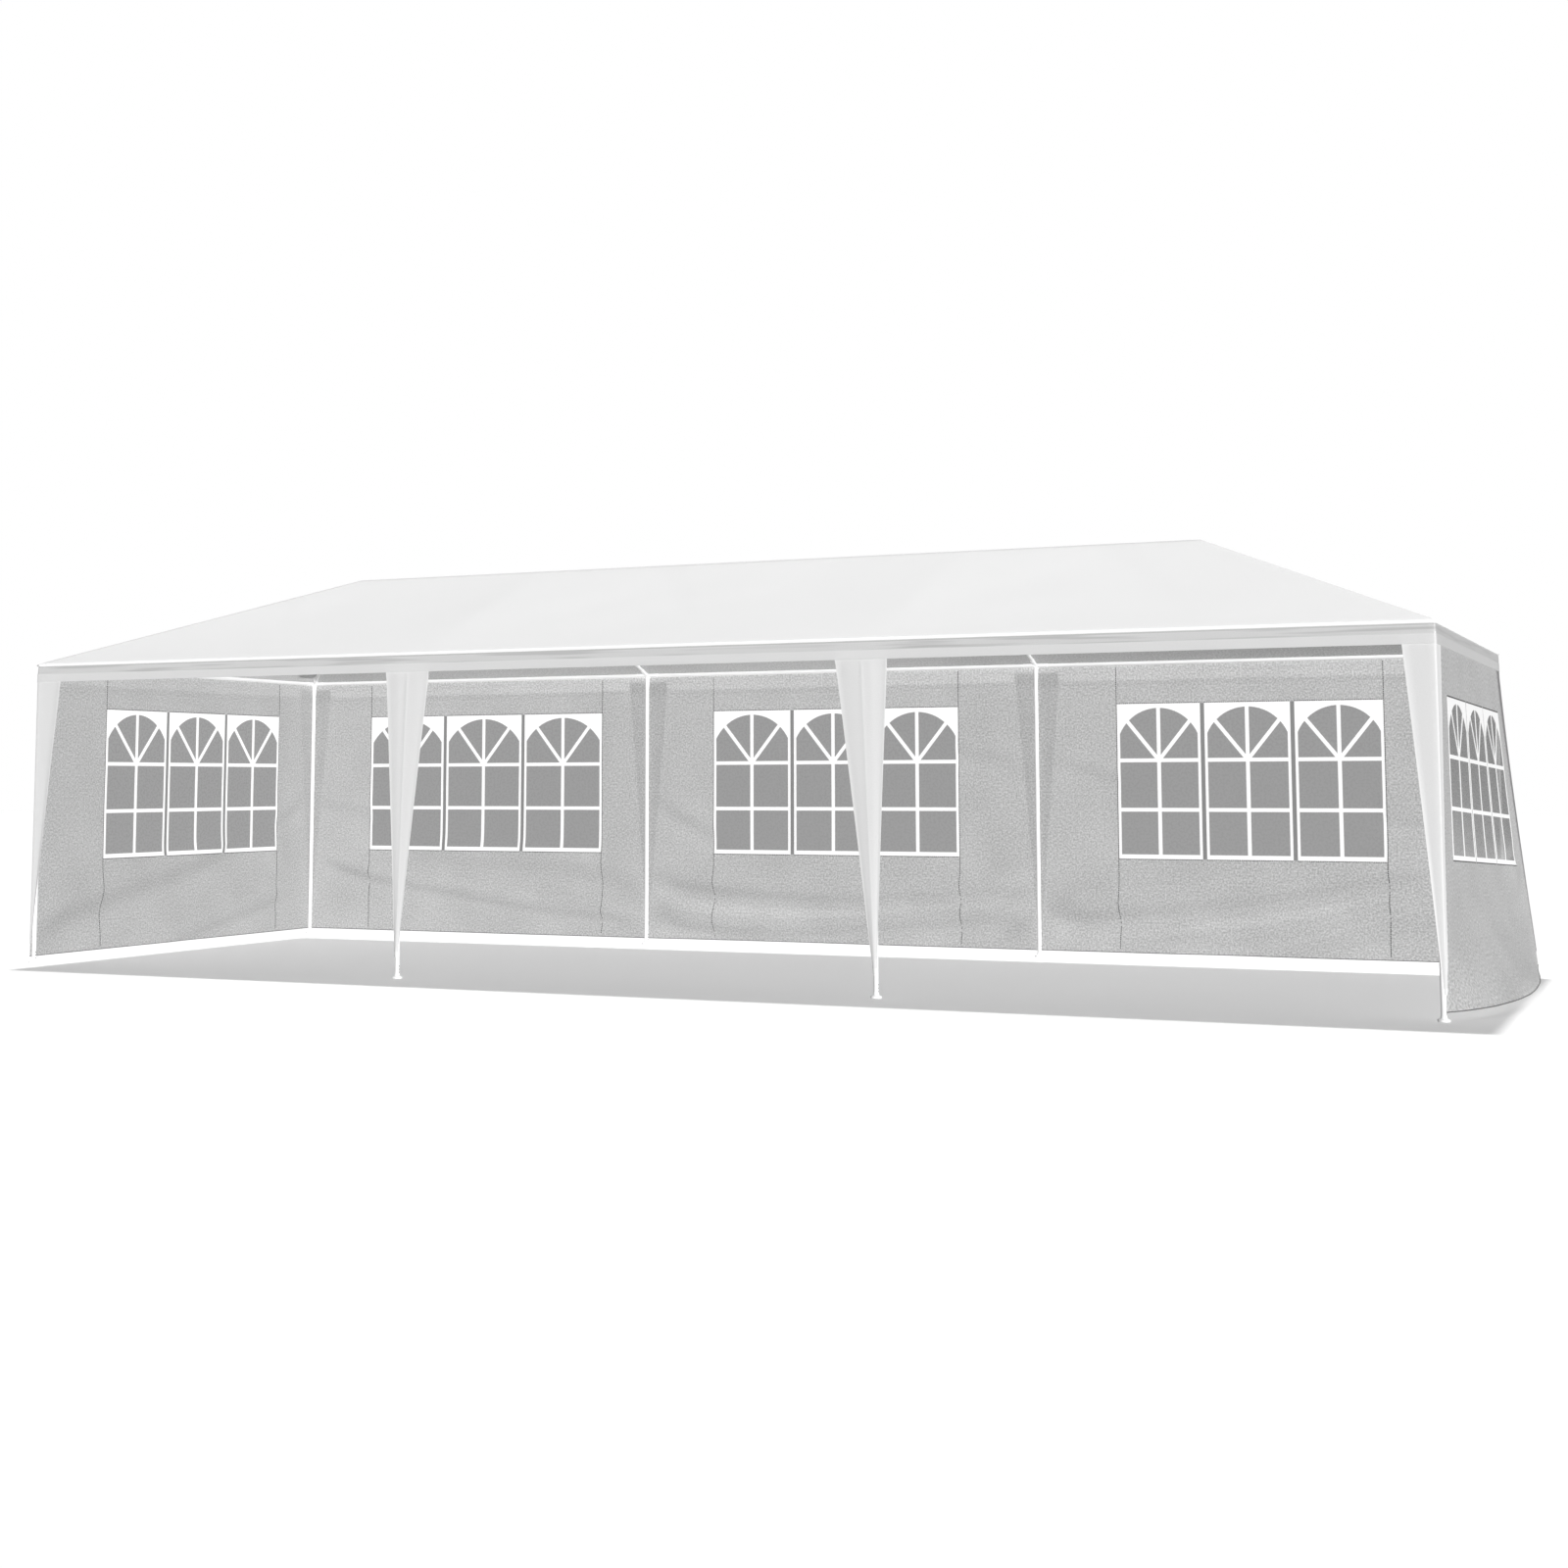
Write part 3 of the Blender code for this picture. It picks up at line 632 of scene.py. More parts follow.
def make_underside_shade(lines_x, lines_y):
    """A darker sheet close under the roof cover, whose grey is painted shade for the cover's
    underside.
    """
    points, places = [], []
    for y in lines_y:
        for x in lines_x:
            points.append((MIDDLE_X + x, y, cover_height(x, y) - cover_sag(x, y) - UNDERSIDE_SHADE_DROP))
            places.append((x, y / math.cos(PITCH)))
    faces, cells = grid_faces(len(lines_x), len(lines_y))
    faces, _ = cut_on_hips(points, faces, [0] * len(cells))
    shapes = Shapes(points, faces, places)
    return add_piece("canopy_underside_shade", shapes, [UNDERSIDE_SHADE_CLOTH])


def make_canopy():
    """The roof cover: one sheet over ridge, hips and rafters, its edge rolled over the rails."""
    roll = roll_profile()
    half_y = spread(0.0, HALF_DEPTH, HALF_DEPTH / CANOPY_STEPS)[1:] + [HALF_DEPTH + ROLL_START]
    half_x = spread(0.0, RIDGE_HALF, HALF_DEPTH / CANOPY_STEPS)[1:]
    half_x += [RIDGE_HALF + y for y in half_y]
    lines_x, lines_y = mirrored(half_x), mirrored(half_y)
    extra = len(roll)
    columns, rows = len(lines_x) + 2 * extra, len(lines_y) + 2 * extra

    def line(lines, index):
        """The line's value, and how many steps down the roll it lies."""
        inner = index - extra
        nearest = min(max(inner, 0), len(lines) - 1)
        return lines[nearest], abs(inner - nearest)

    points, places = [], []
    for j in range(rows):
        y, down_y = line(lines_y, j)
        for i in range(columns):
            x, down_x = line(lines_x, i)
            level = max(down_x, down_y)
            if level == 0:
                z = cover_height(x, y) - cover_sag(x, y)
            else:
                out, z = roll[level - 1]
                if down_x or abs(x) > HALF_LENGTH + ROLL_START / 2:
                    x = math.copysign(HALF_LENGTH + out, x)
                if down_y or abs(y) > HALF_DEPTH + ROLL_START / 2:
                    y = math.copysign(HALF_DEPTH + out, y)
                z += ROLL_RIPPLE * ripple(x * 7, y * 7, 1.0)
            points.append((MIDDLE_X + x, y, z))
            places.append((x + math.copysign(ROLL_MAP_STEP * down_x, x), (y + z) / math.cos(PITCH)))

    def wanted(i, j):
        beyond_x = i < extra or i >= columns - 1 - extra
        beyond_y = j < extra or j >= rows - 1 - extra
        return not (beyond_x and beyond_y)

    faces, cells = grid_faces(columns, rows, wanted)
    # Faces of the rolled edge take the lighter cloth, a painted highlight
    kinds = []
    for i, j in cells:
        inside = extra <= i < columns - 1 - extra and extra <= j < rows - 1 - extra
        kinds.append(int(not inside))
    faces, kinds = cut_on_hips(points, faces, kinds)
    shapes = Shapes(points, faces, places)
    canopy = add_piece("canopy", shapes, [COVER_CLOTH, ROLL_HIGHLIGHT_CLOTH], kinds)
    work = bmesh.new()
    work.from_mesh(canopy.data)
    bmesh.ops.remove_doubles(work, verts=work.verts, dist=CANOPY_WELD)
    work.to_mesh(canopy.data)
    work.free()
    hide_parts("roof_front", "roof_back", "roof_left", "roof_right")
    make_underside_shade(lines_x, lines_y)
    return canopy


def rim_loop():
    """Points all round the eaves with their outward directions and their distance along."""
    loop, run = [], 0.0
    quarter = math.radians(90)
    half_x, half_y = HALF_LENGTH + NOMINAL_OUT, HALF_DEPTH + NOMINAL_OUT
    corners = ((1, -1), (1, 1), (-1, 1), (-1, -1))
    start = Vector((-half_x + CORNER_ROUNDING, -half_y))
    for number, (sx, sy) in enumerate(corners):
        centre = Vector((sx * (half_x - CORNER_ROUNDING), sy * (half_y - CORNER_ROUNDING)))
        turn = (number - 1) * quarter
        normal = Vector((math.cos(turn), math.sin(turn)))
        end = centre + normal * CORNER_ROUNDING
        length = (end - start).length
        for distance in spread(0.0, length, VALANCE_STEP)[:-1]:
            loop.append((start.lerp(end, distance / length), normal, run + distance))
        run += length
        for k in range(CORNER_STEPS):
            angle = quarter * k / CORNER_STEPS
            direction = Vector((math.cos(turn + angle), math.sin(turn + angle)))
            loop.append((centre + direction * CORNER_ROUNDING, direction,
                         run + CORNER_ROUNDING * angle))
        run += CORNER_ROUNDING * quarter
        after = turn + quarter
        start = centre + Vector((math.cos(after), math.sin(after))) * CORNER_ROUNDING
    return loop, run


def valance_wave(run, z):
    """The valance's gentle waves: slack streaks that run along it, and a little flare."""
    free = smooth(RAIL_HEIGHT - z, *VALANCE_FREE)
    streak = VALANCE_STREAK * ripple(run * 0.9, z * 26, 2.0)
    return free * (streak + VALANCE_FLUTTER * ripple(run * 4.5, z * 5, 7.0))


def make_valance():
    loop, run_all = rim_loop()
    points, places = [], []
    for z, out, _ in VALANCE_PROFILE:
        for base, normal, run in loop + [loop[0]]:
            wave = max(valance_wave(run, z), -VALANCE_INWARD_MOST)
            place = base + normal * (out - NOMINAL_OUT + wave)
            points.append((MIDDLE_X + place.x, place.y, z))
            places.append((run, z))
        places[-1] = (run_all, z)
    faces, cells = grid_faces(len(loop) + 1, len(VALANCE_PROFILE))
    kinds = []
    for i, j in cells:
        kind = VALANCE_PROFILE[j][2]
        # Faces turned to the ends take the darker copies, painted shade
        at_shaded_end = kind < 2 and abs(loop[i][1].x) > END_FACING
        kinds.append(kind + END_SHADE_CLOTHS_FIRST if at_shaded_end else kind)
    cloths = [VALANCE_UPPER_SHADE_CLOTH, HEM_CLOTH, EAVE_SHADE_CLOTH, END_VALANCE_SHADE_CLOTH, END_HEM_SHADE_CLOTH]
    shapes = Shapes(points, faces, places)
    valance = add_piece("valance", shapes, cloths, kinds)
    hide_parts("valance_front", "valance_back", "valance_left", "valance_right")
    return valance


def make_drape(name, node, lines, widths, foot, push, place):
    """A drape's piece, hemmed at its sides and foot.

    widths are its head's to either side of its middle, and foot is its foot's. push is how far
    the cloth stands out at one of its points, and place is where that point lies.
    """
    across = mirrored(lines)
    heights = [DRAPE_TOP + (DRAPE_FOOT - DRAPE_TOP) * t for t in spread(0.0, 1.0, 1 / DRAPE_ROWS)]
    points, places = [], []
    for z in heights:
        share = 1 - held_to_one((VALANCE_FOOT - z) / (VALANCE_FOOT - DRAPE_FOOT))
        free = smooth(VALANCE_FOOT + DRAPE_TUCK - z, 0.0, DRAPE_FREE)
        crumple = math.exp(-((VALANCE_FOOT - CRUMPLE_DROP - z) / CRUMPLE_REACH) ** 2)
        for u in across:
            run = u * (foot + (widths[int(u > 0)] - foot) * share ** DRAPE_CURVE)
            out = DRAPE_OUT + free * push(run, u, z, share, crumple)
            out += DRAPE_HEM_LIFT if abs(u) > DRAPE_HEM_SHARE else 0.0
            points.append(place(run, out, z, share))
            places.append((run, z))
    faces, cells = grid_faces(len(across), len(heights))
    kinds = [int(i in (0, len(across) - 2) or j >= len(heights) - 2) for i, j in cells]
    shapes = Shapes(points, faces, places)
    drape = add_piece(name, shapes, [DRAPE_CLOTH, DRAPE_HEM], kinds)
    if node:
        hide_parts(node)
    return drape


def make_flat_drape(name, x, shift, side, node, curl):
    """The drape over the leg at x, creased down its middle; its head hangs to one side by shift."""

    def push(s, u, z, share, crumple):
        pleat = DRAPE_PLEAT * crumple * ripple(s * 34, z * 12, x)
        crease = DRAPE_CREASE * math.exp(-(s / CREASE_WIDTH) ** 2) * (1 + share) / 2
        slack = max(DRAPE_SLACK * ripple(s * 6, z * 2.2, x + 5), -DRAPE_SLACK_INWARD)
        return pleat + crease + slack - curl * abs(u) ** CURL_CURVE

    def place(s, out, z, share):
        return (x + shift * share + s, side * (HALF_DEPTH + out), z)

    widths = (DRAPE_TOP_HALF_WIDTH, DRAPE_TOP_HALF_WIDTH)
    return make_drape(name, node, DRAPE_LINES, widths, DRAPE_FOOT_HALF_WIDTH, push, place)


def blown(y, z):
    """How far the right end wall stands out at this point."""
    along = held_to_one((y + HALF_DEPTH) / (2 * HALF_DEPTH))
    down = held_to_one((VALANCE_FOOT - z) / (VALANCE_FOOT - WALL_FOOT))
    across = abs(math.sin(math.pi * along ** FLARE_EARLY)) ** FLARE_FULL
    lean = LEAN_REACH * along ** LEAN_SPREAD * down ** LEAN_CURVE
    return lean + FLARE_REACH * across * down ** FLARE_CURVE


def make_corner_drape(name, corner_x, side_x, side_y, node):
    """The drape over a corner leg, bent round the corner, with a crease along the bend."""
    half_arc = DRAPE_ROUNDING * math.pi / 4

    def push(run, u, z, share, crumple):
        pleat = CORNER_DRAPE_PLEAT * crumple * ripple(run * 34, z * 12, corner_x)
        return pleat + CORNER_DRAPE_SLACK * ripple(run * 7, z * 2, corner_x + 3)

    def place(run, out, z, share):
        inner = out - DRAPE_ROUNDING
        if abs(run) <= half_arc:
            angle = math.pi / 4 + run / DRAPE_ROUNDING
            x_out = inner + DRAPE_ROUNDING * math.sin(angle)
            y_out = inner + DRAPE_ROUNDING * math.cos(angle)
        elif run < 0:
            x_out, y_out = inner + run + half_arc, out
        else:
            x_out, y_out = out, inner - run + half_arc
        y = side_y * (HALF_DEPTH + y_out)
        lean = blown(y, z) if side_x > 0 else 0.0
        return (corner_x + side_x * x_out + lean, y, z)

    front_left = side_x < 0 and side_y < 0
    along_front = FRONT_LEFT_DRAPE_TOP_WIDTH if front_left else CORNER_DRAPE_TOP_WIDTH
    widths = (along_front, CORNER_DRAPE_TOP_WIDTH)
    return make_drape(name, node, CORNER_DRAPE_LINES, widths, CORNER_DRAPE_FOOT_WIDTH, push, place)


class Wall:
    """One side wall: where it hangs, its window group, and the pieces that it stands for."""

    def __init__(self, word, left, right, group, askew=None):
        self.word = word
        self.left, self.right = left, right
        self.centre, self.width = group
        self.askew = askew
        self.folds = FOLDS[word]
        if word.startswith("back"):
            number = int(word[-1])
            self.x = (LEG_X[number - 1] + LEG_X[number]) / 2
        else:
            self.x = LEG_X[0] if word == "left" else LEG_X[-1]

    def place(self, s, z, out):
        """The point s along the wall, z up and out from the legs' centre lines."""
        if self.word == "left":
            return (self.x - out, s, z)
        if self.word == "right":
            return (self.x + out + blown(s, z), s, z)
        if self.word == f"back_{BAYS}":
            last_window = self.centre + self.width / 2
            share = max(0.0, (s - last_window) / (self.right - last_window))
            s += share * blown(HALF_DEPTH, z)
        return (self.x + s, HALF_DEPTH + out, z)

    def windows(self):
        """The left and right edge of each of the three windows."""
        one = (self.width - 2 * WINDOW_GAP) / 3
        first = self.centre - self.width / 2
        return [(first + i * (one + WINDOW_GAP), first + i * (one + WINDOW_GAP) + one)
                for i in range(3)]

    def height(self, s, z):
        """Where a height of the usual wall lies on a wall whose windows hang askew."""
        if not self.askew:
            return z
        along = held_to_one((s - self.centre) / self.width + 0.5)
        foot, head = [ends[0] + (ends[1] - ends[0]) * along for ends in self.askew]
        if z < WINDOW_FOOT:
            return WALL_FOOT + (z - WALL_FOOT) * (foot - WALL_FOOT) / (WINDOW_FOOT - WALL_FOOT)
        if z > WINDOW_HEAD:
            return head + (z - WINDOW_HEAD) * (WALL_TOP - head) / (WALL_TOP - WINDOW_HEAD)
        return foot + (z - WINDOW_FOOT) * (head - foot) / (WINDOW_HEAD - WINDOW_FOOT)

    def give(self, s, z):
        """How far the cloth's folds bring it in from its flat place."""
        edge = min(s - self.left, self.right - s)
        free = smooth(edge, 0.0, EDGE_FADE) * smooth(RAIL_HEIGHT - z, *HEAD_FADE)
        beside = self.width / 2 + WINDOW_FADE - abs(s - self.centre)
        above = smooth(z - WINDOW_FOOT, *SILL_FADE)
        free *= 1 - WINDOW_CALM * above * smooth(beside, 0.0, 2 * WINDOW_FADE)
        total = 0.0
        for line, broad, deep in self.folds:
            total += fold_at(line, broad, deep * FOLD_SCALE, s, z)
        total += WALL_SWELL * ripple(s * 1.3, z * 2.1, self.x)
        total += WALL_RIPPLE * ripple(s * 5.0, z * 6.0, self.x + 9)
        low, high = DRAPE_COVERS
        clear = smooth(edge - low - (high - low) * z / RAIL_HEIGHT, 0.0, CLEAR_FADE)
        return max(free * total, -OUTWARD_BY_DRAPE - OUTWARD_MOST * clear)

    def at(self, s, z, lift=0.0):
        """The cloth's point, folds and all; lift stands it out from the cloth."""
        up = self.height(s, z)
        return self.place(s, up, WALL_OUT + lift - self.give(s, up))

    def grid(self, columns, rows):
        """The cloth's points on a grid, and their places on the flat cloth."""
        places = [(s, z) for z in rows for s in columns]
        return [self.at(*place) for place in places], places


def fold_height(line, s):
    """Height of a fold's line, a smooth curve through its points that runs straight past them."""
    if s <= line[0][0] or s >= line[-1][0]:
        (s0, z0), (s1, z1) = line[:2] if s <= line[0][0] else (line[-1], line[-2])
        return z0 + (z1 - z0) / (s1 - s0) * (s - s0)
    k = next(i for i in range(len(line) - 1) if s <= line[i + 1][0])
    (s0, z0), (s1, z1) = line[k], line[k + 1]
    before = line[k - 1] if k > 0 else (2 * s0 - s1, 2 * z0 - z1)
    after = line[k + 2] if k + 2 < len(line) else (2 * s1 - s0, 2 * z1 - z0)
    m0 = (z1 - before[1]) / (s1 - before[0]) * (s1 - s0)
    m1 = (after[1] - z0) / (after[0] - s0) * (s1 - s0)
    t = (s - s0) / (s1 - s0)
    height = ((2 * t - 3) * t * t + 1) * z0 + ((t - 2) * t + 1) * t * m0
    return height + (3 - 2 * t) * t * t * z1 + (t - 1) * t * t * m1


def fold_at(line, broad, deep, s, z):
    """One fold's push inwards: in above its line and out below it, dying away past its ends."""
    first, last = line[0][0], line[-1][0]
    if s < first - FOLD_PAST_END or s > last + FOLD_PAST_END:
        return 0.0
    ends = smooth(s, first - FOLD_PAST_END, first + FOLD_BEFORE_END)
    ends *= 1 - smooth(s, last - FOLD_BEFORE_END, last + FOLD_PAST_END)
    u = (z - fold_height(line, s)) / broad
    return deep * FOLD_PEAK * u * math.exp(-u * u) * ends


def make_wall_cloth(wall):
    """The wall's cloth with its window holes cut out and dark strips between the windows."""
    lights = wall.windows()
    group_left, group_right = lights[0][0], lights[-1][1]
    stops = [wall.left] + [edge for light in lights for edge in light] + [wall.right]
    columns = lines_through(stops, CLOTH_STEP)
    rows = lines_through([WALL_FOOT, WINDOW_FOOT, WINDOW_HEAD, WALL_TOP], CLOTH_STEP)

    def middle(i, j):
        return (columns[i] + columns[i + 1]) / 2, (rows[j] + rows[j + 1]) / 2

    def wanted(i, j):
        s, z = middle(i, j)
        return not (WINDOW_FOOT < z < WINDOW_HEAD and any(a < s < b for a, b in lights))

    faces, cells = grid_faces(len(columns), len(rows), wanted)
    kinds = []
    for cell in cells:
        s, z = middle(*cell)
        kinds.append(int(WINDOW_FOOT < z < WINDOW_HEAD and group_left < s < group_right))
    points, places = wall.grid(columns, rows)
    shapes = Shapes(points, faces, places)
    materials = [BACK_CLOTH if wall.word.startswith("back") else END_CLOTH, STRIP_CLOTH]
    cloth = add_piece(f"side_wall_{wall.word}", shapes, materials, kinds)
    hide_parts(f"wall_{wall.word}")
    return cloth


def clipped(outline, x, y, across_x, across_y):
    """The part of a convex outline on the far side of a line through x, y."""
    kept = []
    for k, (ax, ay) in enumerate(outline):
        bx, by = outline[(k + 1) % len(outline)]
        side_a = (ax - x) * across_x + (ay - y) * across_y
        side_b = (bx - x) * across_x + (by - y) * across_y
        if side_a >= 0:
            kept.append((ax, ay))
        if side_a * side_b < 0:
            t = side_a / (side_a - side_b)
            kept.append((ax + (bx - ax) * t, ay + (by - ay) * t))
    return kept


def window_holes(left, right):
    """The outlines of the eight lights of one window, between its bars and under its arch."""
    low, high = WINDOW_FOOT + FRAME_FOOT, WINDOW_HEAD - FRAME_HEAD
    left, right = left + FRAME_SIDE, right - FRAME_SIDE
    middle, half = (left + right) / 2, (right - left) / 2
    radius = (half * half + ARCH_RISE * ARCH_RISE) / (2 * ARCH_RISE)
    reach = math.asin(half / radius)
    whole = [(left, low), (right, low)]
    for i in range(ARCH_STEPS + 1):
        angle = reach * (1 - 2 * i / ARCH_STEPS)
        whole.append((middle + radius * math.sin(angle), high - radius + radius * math.cos(angle)))
    gap = BAR / 2
    bars = WINDOW_FOOT + LOW_BAR, WINDOW_FOOT + HIGH_BAR
    holes = []
    for side in (-1, 1):
        half_window = clipped(whole, middle + side * gap, 0, side, 0)
        holes.append(clipped(half_window, 0, bars[0] - gap, 0, -1))
        row = clipped(half_window, 0, bars[0] + gap, 0, 1)
        holes.append(clipped(row, 0, bars[1] - gap, 0, -1))
        fan = clipped(half_window, 0, bars[1] + gap, 0, 1)
        lean_x, lean_y = side * math.cos(FAN_ANGLE), -math.sin(FAN_ANGLE)
        for sign in (1, -1):
            x, y = middle + sign * lean_x * gap, bars[1] + sign * lean_y * gap
            holes.append(clipped(fan, x, y, sign * lean_x, sign * lean_y))
    return holes


def filled(outlines, thickness):
    """A flat solid of outlines with holes, lying in the XY plane, as a bmesh."""
    curve = bpy.data.curves.new("guide", "CURVE")
    curve.dimensions = "2D"
    curve.fill_mode = "BOTH"
    curve.extrude = thickness / 2
    for outline in outlines:
        spline = curve.splines.new("POLY")
        spline.points.add(len(outline) - 1)
        for point, (x, y) in zip(spline.points, outline):
            point.co = (x, y, 0.0, 1.0)
        spline.use_cyclic_u = True
    guide = bpy.data.objects.new("guide", curve)
    bpy.context.scene.collection.objects.link(guide)
    seen = guide.evaluated_get(bpy.context.evaluated_depsgraph_get())
    mesh = bpy.data.meshes.new_from_object(seen)
    bpy.data.objects.remove(guide, do_unlink=True)
    bpy.data.curves.remove(curve)
    work = bmesh.new()
    work.from_mesh(mesh)
    bpy.data.meshes.remove(mesh)
    bmesh.ops.remove_doubles(work, verts=work.verts, dist=WELD)
    return work


def make_window_frames(wall):
    """The white frames, bars, arches and fans of the wall's three windows."""
    shapes = Shapes()
    heights = spread(WINDOW_FOOT, WINDOW_HEAD, CLOTH_STEP)[1:-1]
    for left, right in wall.windows():
        sides, ends = (left, right), (WINDOW_FOOT, WINDOW_HEAD)
        outer = [(sides[i], ends[j]) for i, j in ((0, 0), (1, 0), (1, 1), (0, 1))]
        work = filled([outer] + window_holes(left, right), FRAME_THICKNESS)
        cuts = [((s, 0, 0), (1, 0, 0)) for s in spread(left, right, CLOTH_STEP)[1:-1]]
        cuts += [((0, z, 0), (0, 1, 0)) for z in heights]
        for place, across in cuts:
            everything = work.verts[:] + work.edges[:] + work.faces[:]
            bmesh.ops.bisect_plane(work, geom=everything, dist=WELD, plane_co=place,
                                   plane_no=across)
        work.verts.ensure_lookup_table()
        shapes.take([wall.at(*v.co) for v in work.verts],
                    [[v.index for v in face.verts] for face in work.faces])
        work.free()
    return add_piece(f"window_frames_{wall.word}", shapes, [FRAME_PRINT], sharp=35)


def make_panes(wall):
    """The clear film in the wall's three windows."""
    shapes = Shapes()
    rows = spread(WINDOW_FOOT, WINDOW_HEAD, CLOTH_STEP)
    for left, right in wall.windows():
        columns = spread(left, right, CLOTH_STEP)
        points, places = wall.grid(columns, rows)
        shapes.take(points, grid_faces(len(columns), len(rows))[0], places)
    panes = add_piece(f"window_panes_{wall.word}", shapes, [FILM])
    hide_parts(f"window_film_{wall.word}")
    return panes


def make_stitches(wall):
    """Dark stitches down both sides of the windows, and over and under each window."""
    lights = wall.windows()
    spots = []
    if wall.word != "right":
        for s in (lights[0][0] - SEAM_ASIDE, lights[-1][1] + SEAM_ASIDE):
            for z in steps(WALL_FOOT + SEAM_RISE, WALL_TOP - SEAM_DROP, SEAM_PITCH):
                spots.append((s, z, SEAM_STITCH_WIDTH, STITCH_LENGTH))
    for left, right in lights:
        for z in (WINDOW_FOOT - WINDOW_STITCH_ASIDE, WINDOW_HEAD + WINDOW_STITCH_ASIDE):
            for s in steps(left + SEAM_ASIDE, right, WINDOW_STITCH_PITCH):
                spots.append((s, z, STITCH_LENGTH, WINDOW_STITCH_WIDTH))
    shapes = Shapes()
    for s, z, half_s, half_z in spots:
        wobble = STITCH_WOBBLE * ripple(s * 90, z * 90, 0)
        shapes.take([wall.at(s + wobble + a * half_s, z + b * half_z, c * STITCH_LIFT)
                     for a, b, c in BOX_CORNERS], BOX_FACES)
    return add_piece(f"wall_stitches_{wall.word}", shapes, [THREAD], sharp=30)


def capped_faces(rings, sides):
    """Faces between rings of points that follow one another, and over both ends."""
    faces = []
    for k in range(rings - 1):
        for i in range(sides):
            first, second = k * sides + i, k * sides + (i + 1) % sides
            faces.append((first, second, second + sides, first + sides))
    faces.append(tuple(reversed(range(sides))))
    faces.append(tuple(range((rings - 1) * sides, rings * sides)))
    return faces


def closed_faces(around, section):
    """Faces of a closed profile carried all the way round."""
    faces = []
    for i in range(around):
        for k in range(section):
            a, b = i * section + k, i * section + (k + 1) % section
            c, d = [(i + 1) % around * section + corner % section for corner in (k, k + 1)]
            faces.append((a, c, d, b))
    return faces


def turns(count):
    return [2 * math.pi * i / count for i in range(count)]


def ring_about(along, hint, count):
    """Directions all round the given one, at right angles to it."""
    side = along.cross(Vector(hint)).normalized()
    other = along.cross(side)
    return [side * math.cos(angle) + other * math.sin(angle) for angle in turns(count)]


def tube_along(path, radius, sides):
    """Points and faces of a round tube along a path, closed at both ends."""
    points = []
    for k, point in enumerate(path):
        before, after = path[max(k - 1, 0)], path[min(k + 1, len(path) - 1)]
        along = (Vector(after) - Vector(before)).normalized()
        across = along.cross(Vector((0, 0, 1))).normalized()
        up = across.cross(along)
        for angle in turns(sides):
            out = across * math.cos(angle) + up * math.sin(angle)
            points.append(Vector(point) + out * radius)
    return points, capped_faces(len(path), sides)


def make_wall_hem(wall):
    """A thin dark round cord along the wall's foot."""
    path = [wall.at(s, WALL_FOOT + HEM_RISE) for s in spread(wall.left, wall.right, HEM_STEP)]
    shapes = Shapes(*tube_along(path, HEM_RADIUS, HEM_SIDES))
    return add_piece(f"wall_hem_{wall.word}", shapes, [DARK_FOOT_CORD])


def make_wall(wall):
    cloth = make_wall_cloth(wall)
    others = [make(wall) for make in (make_window_frames, make_panes, make_stitches, make_wall_hem)]


def make_feet():
    """A domed plastic shoe on each round foot plate, and painted shade in the adjusting holes of
    the leg above.
    """
    shoes, holes = Shapes(), Shapes()
    for side, xs in ((-1, FRONT_LEG_X), (1, LEG_X)):
        for x in xs:
            y = side * HALF_DEPTH
            shoe = [(x + radius * math.cos(angle), y + radius * math.sin(angle), height)
                    for angle in turns(FOOT_SIDES) for radius, height in FOOT_PROFILE]
            shoes.take(shoe, closed_faces(FOOT_SIDES, len(FOOT_PROFILE)))
            for height in HOLE_HEIGHTS:
                start = Vector((x + LEG_RADIUS - HOLE_SINK, y, height))
                path = [start, start + Vector((HOLE_DEPTH, 0, 0))]
                holes.take(*tube_along(path, HOLE_RADIUS, HOLE_SIDES))
    add_piece("foot_shoes", shoes, [FOOT_PLASTIC], sharp=40)
    add_piece("leg_hole_painted_shade", holes, [PAINTED_HOLE_SHADE], sharp=40)


def gusset(centre, first, second):
    """A pressed plate in the corner between two sleeves, with a hollow curved free edge."""
    reach = GUSSET_REACH
    flat = first.cross(second).normalized() * (GUSSET_THICKNESS / 2)
    outline = [centre + (first + second) * GUSSET_HEEL]
    outline.append(centre + first * reach + second * GUSSET_TOE)
    for i in range(1, GUSSET_STEPS):
        t = i / GUSSET_STEPS
        a, b = reach * (1 - t) ** 2 + GUSSET_WAIST, reach * t ** 2 + GUSSET_WAIST
        outline.append(centre + first * a + second * b)
    outline.append(centre + second * reach + first * GUSSET_TOE)
    count = len(outline)
    points = [p - flat for p in outline] + [p + flat for p in outline]
    faces = [tuple(reversed(range(count))), tuple(range(count, 2 * count))]
    faces += [(i, (i + 1) % count, (i + 1) % count + count, i + count) for i in range(count)]
    return points, faces


def bead(centre, along, radius):
    """A rolled bead round the mouth of a sleeve that runs that way from the joint's centre."""
    mouth = centre + along * (SLEEVE_REACH - BEAD_BACK)
    points = [mouth + out * (radius + BEAD * math.cos(turn)) + along * BEAD * math.sin(turn)
              for out in ring_about(along, (0.3, 0.5, 0.81), BEAD_SIDES)
              for turn in turns(BEAD_SECTION)]
    return points, closed_faces(BEAD_SIDES, BEAD_SECTION)


def button(centre, out, size):
    """A small domed push button of a radius and a height, on the side of a sleeve."""
    radius, height = size
    ring = ring_about(out, (0.31, 0.52, 0.80), BUTTON_SIDES)
    angles = [math.pi / 2 * j / BUTTON_RINGS for j in range(BUTTON_RINGS)]
    points = [centre + flat * radius * math.cos(angle) + out * height * math.sin(angle)
              for angle in angles for flat in ring]
    return points, capped_faces(BUTTON_RINGS, BUTTON_SIDES)


